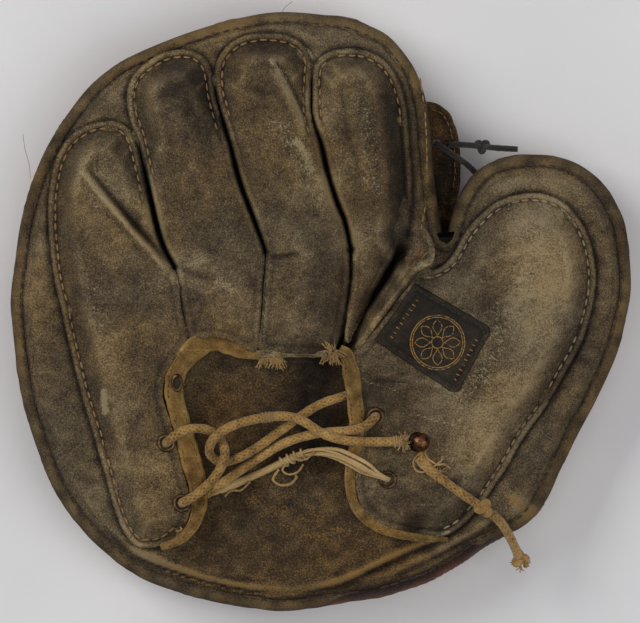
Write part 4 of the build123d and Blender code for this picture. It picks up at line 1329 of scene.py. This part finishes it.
def knot_piece(name, at, size, thick, material, node, body, lean=0.0):
    """An overhand knot: a cord's trefoil pulled tight."""
    t = np.linspace(0, TURN, 120)
    x, y = np.sin(t) + 1.5 * np.sin(2 * t), np.cos(t) - 1.5 * np.cos(2 * t)
    shape = np.column_stack([x, y, -0.8 * np.sin(3 * t)])
    shape = shape / 2.5 * (size - thick / 2)
    c, s = math.cos(lean), math.sin(lean)
    shape = shape @ np.array([[c, s, 0], [-s, c, 0], [0, 0, 1]])
    obj = braided(name, shape + np.array(at), thick, material, 1.8, 14, 2.5)
    settle(obj, "lace" if material is LACE else "thong", body, node)
    return obj


def wraps(name, centre_path, radius, turns, thick, material, body, seed):
    """Loose yarn wound round a stretch of cord."""
    rng = np.random.default_rng(seed)
    _, side, up = frames_along(centre_path)
    t = np.linspace(0, 1, len(centre_path))
    angle = TURN * turns * t + rng.uniform(0, 6)
    r = radius * (1 + 0.08 * np.sin(7 * angle))
    line = centre_path + side * (r * np.cos(angle))[:, None] + up * (r * np.sin(angle))[:, None]
    yarns(name, [tube_rings(line, thick, 7)], material, body)


def laces():
    """The lace's stretches, its knots and the loose yarns at its worn places."""
    lace_run("lace_left_loop", LEFT_LOOP, "lace_left_loop", body="finger_side")
    upper = lace_run("lace_upper_run", UPPER_RUN, "lace_upper_run")
    lace_run("lace_cross_run", CROSS_RUN, "lace_cross_run")
    frayed_lace()
    knots = [
        knot_piece("lace_tail_hitch", TAIL_KNOT, 4.6, 3.0, LACE, "lace_tail_knot", "thumb_side", lean=0.6),
        knot_piece("lace_end_hitch", END_KNOT, 4.7, 3.0, LACE, "lace_end_knot", "thumb_side", lean=1.4),
    ]
    tail = lace_run("lace_tail", TAIL, "lace_tail", body="thumb_side")
    hitch = through(STUD_HITCH, 0.4)
    settle(braided("lace_stud_loop", hitch, 3.2, LACE), "lace", "thumb_side")
    splice = upper[len(upper) * 62 // 100:len(upper) * 65 // 100 + 4]
    wraps("lace_splice_wraps", through(splice[::4], 0.12), 2.25, 7, 0.34, COLLAR, "finger_side", 9)
    top = tail[:int(0.34 * len(tail))]
    frayed = yarn_bundle(top, 13, 0.9, lambda run: 1.9 * (1 - run) ** 1.3, 0.46, 15, wave=0.35)
    yarns("lace_tail_frayed_yarns", frayed, COLLAR, "thumb_side")
    loops = [
        [(43.6, -64, 49.6), (41.4, -67.2, 49.4), (42.4, -71, 49.2), (45.6, -72, 49.4), (48, -70.4, 49.8)],
        [(48, -66, 50.6), (52, -68.6, 51), (55, -68.4, 50.4), (57.8, -70.2, 49.4)],
        [(50.6, -69.4, 50.6), (54, -66.6, 50.8), (54.4, -64.8, 50.4)],
    ]
    strands = [tube_rings(through(points, 0.4), twist_yarn(0.5), 9) for points in loops]
    yarns("lace_tail_loose_yarns", strands, COLLAR, "thumb_side")
    ragged_collar("lace_stud_collar", (37.6, -58.2, 50), (1, 0.05, 0), 3.2, 60, "thumb_side", 8)
    near_stud = upper[-12:-1]
    wraps("lace_stud_wraps", through(near_stud[::3], 0.12), 2.4, 4, 0.4, COLLAR, "thumb_side", 8)
    ragged_collar("lace_tail_collar", (52.4, -72.6, 50), (1, -0.9, 0), 2.6, 26, "thumb_side", 17, 0.26)
    ragged_collar("lace_end_collar", (90.8, -114.4, 25.2), (0.4, -1, -0.6), 2.8, 40, "thumb_side", 14, 0.28)
    torn_end = (-62.5, -99, FLAP_Z + 0.6)
    ragged_collar("left_binding_fray", torn_end, (1, 1, 0), 1.6, 14, "finger_side", 18, 0.2)


def hair(name, points):
    """A loose fibre caught on the leather's edge."""
    settle(join_rings(name, [tube_rings(through(points, 0.5), 0.1, 6)], HAIR), "back_leather", "finger_side")


HOLE_BAND = 0.45   # points this near a hole's rim move onto it


def cut_hole(obj, at, radius):
    """A round hole through a sheet: the nearest points move onto its rim, the ones inside go."""
    mesh = obj.data
    bm = bmesh.new()
    bm.from_mesh(mesh)
    centre = np.array(at) * MM
    inside = []
    for v in bm.verts:
        away = np.array(v.co[:2]) - centre
        far = np.linalg.norm(away)
        if far < (radius - HOLE_BAND) * MM:
            inside.append(v)
        elif far < (radius + HOLE_BAND) * MM:
            v.co[0], v.co[1] = centre + away / far * radius * MM
    bmesh.ops.delete(bm, geom=inside, context="VERTS")
    bm.to_mesh(mesh)
    bm.free()


def web_pieces():
    """The leather tab in the crotch and the dark thong that ties it to the thumb."""
    _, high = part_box("web_tab")
    top = high.z / MM

    def height(q):
        return top + 2.6 * bell(q[:, 1] - 96, 16) + 0.3 * lumps(q, 9, 111)

    curve = Line(WEB_TAB, closed=True)
    obj = leather_sheet("web_tab_leather", curve, height, WEB, 0.8, thick=2.4)
    cut_hole(obj, TAB_HOLE, 1.9)
    settle(obj, "web_leather", "finger_side", "web_tab")
    row = through([(60, 56), (61, 68), (59.6, 80), (56, 89), (50, 92.5)], 1.0)
    thread = stitches("web_tab_stitching", row, height, THREAD, pitch=3.2, radius=0.2, seed=112)
    settle(thread, "web_leather", "finger_side")
    path, strap = thong_strap("web_thong", THONG)
    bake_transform(strap)
    knot = knot_piece("web_thong_hitch", THONG_KNOT, 3.9, 2.2, THONG_LEATHER, "web_thong_knot",
                      "finger_side")
    path, strap = thong_strap("web_thong_tail", THONG_TAIL)
    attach(strap, "finger_side")


def thong_strap(node, points):
    """A rawhide strap and its path."""
    path = nurbs_path(node + "_route", points)
    strap = bridge(node + "_strap", tube_rings(path, braid(THONG_D, 3.4)), THONG_LEATHER)
    set_values(strap, "proud", np.zeros(len(strap.data.vertices)))
    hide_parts(node)
    return path, strap


palm_piece()
welt_piece()
base_piece()
panels()
seam_rows()
binding("left_binding_strip", LEFT_BINDING, "left_binding", "finger_side", end_sinks=0.4)
binding("centre_binding_strip", CENTRE_BINDING, "centre_binding", "finger_side", PALE_BINDING, 0.0)
binding("right_binding_strip", RIGHT_BINDING, "right_binding", "thumb_side")
tuft("binding_fray_left", (-22.5, -20, FLAP_Z + 0.6), 5.0, 4.6, 60, "finger_side", 121)
tuft("binding_fray_right", (4.5, -19, FLAP_Z), 3.6, 4.0, 30, "finger_side", 122)
ragged_collar("binding_fray_tangle", (5, -18, FLAP_Z + 1.2), (1, 0.6, 0), 3.6, 46, "finger_side", 123, 0.24)
ragged_collar("crotch_fray", (42.6, 24.4, 43.6), (0.5, -0.6, 0), 3.2, 80, "thumb_side", 124, 0.26, FUZZ)
eyelet_piece("left_upper_eyelet", LEFT_UPPER_EYELET, "finger_side")
eyelet_piece("left_lower_eyelet", LEFT_LOWER_EYELET, "finger_side")
eyelet_piece("spare_eyelet", SPARE_EYELET, "finger_side", lift=1.0, squeeze=0.62)   # raised by the binding, seen narrow
eyelet_piece("right_upper_eyelet", RIGHT_UPPER_EYELET, "thumb_side")
eyelet_piece("right_lower_eyelet", RIGHT_LOWER_EYELET, "thumb_side")
stud_piece()
patch_piece()
laces()
web_pieces()
hair("loose_hair_left", [(-131.4, 60, 31), (-131.8, 66, 31.6), (-133.6, 73, 33), (-134.6, 80, 33.6)])
hair("loose_hair_top", [(-18, 134, 31), (-16.6, 137, 32), (-13, 140, 33)])
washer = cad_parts["stud_washer"].data
washer.materials.clear()
washer.materials.append(BRASS)


# ------------------------------------------------------------------ floor, light, camera, in metres
FLOOR_REACH, FLOOR_Z = 3, -0.0004
MITT_MIDDLE = 0.03    # height that the lights look at


def floor_material():
    """Plain pale paper."""
    g = Graph("backdrop_paper")
    color = g.shades(g.noise(6, 3, 0.5), (0.2, 0.8), ((206, 206, 209), (216, 216, 218)))
    return g.finish(color, 0.9, g.noise(900, 3, 0.6), 0.00005, 0.3)


def stage():
    """The floor, a hair below the mitt."""
    mesh = bpy.data.meshes.new("floor")
    corners = [(x * FLOOR_REACH, y * FLOOR_REACH, FLOOR_Z) for x, y in ((-1, -1), (1, -1), (1, 1), (-1, 1))]
    mesh.from_pydata(corners, [], [(0, 1, 2, 3)])
    mesh.materials.append(floor_material())
    placed("floor", mesh)


def area_light(name, place, size, power, color):
    """A rectangular light that looks at the mitt."""
    light = bpy.data.lights.new(name, "AREA")
    light.shape = "RECTANGLE"
    light.size, light.size_y = size
    light.energy = power
    light.color = color
    holder = placed(name, light)
    holder.location = place
    aim = Vector((0, 0, MITT_MIDDLE)) - Vector(place)
    holder.rotation_euler = aim.to_track_quat("-Z", "Y").to_euler()


CAMERA_HEIGHT = 2.2
PANELS_HEIGHT = 0.04
SENSOR = 36           # millimetres
FRAME_WIDTH = 0.288   # what the view spans at the height of the back panels

stage()
area_light("window", (-1.5, 0.9, 1.5), (1.3, 1.0), 29, (1.0, 0.985, 0.95))
area_light("fill", (1.4, -0.7, 1.6), (1.4, 1.4), 14, (1.0, 0.99, 0.98))
area_light("overhead", (0.2, -0.2, 2.1), (1.8, 1.8), 12, (1.0, 0.99, 0.97))
world = bpy.data.worlds.new("studio")
world.use_nodes = True
background = world.node_tree.nodes["Background"].inputs
background["Color"].default_value = (0.97, 0.97, 1.0, 1)
background["Strength"].default_value = 0.25
bpy.context.scene.world = world
view = bpy.data.cameras.new("camera")
view.sensor_fit = "HORIZONTAL"
view.sensor_width = SENSOR
view.lens = SENSOR * (CAMERA_HEIGHT - PANELS_HEIGHT) / FRAME_WIDTH
view.clip_start, view.clip_end = 0.1, 20
camera = placed("camera", view)
camera.location = (-0.0005, 0.0, CAMERA_HEIGHT)
bpy.context.scene.camera = camera
bpy.context.scene.view_settings.view_transform = "Standard"
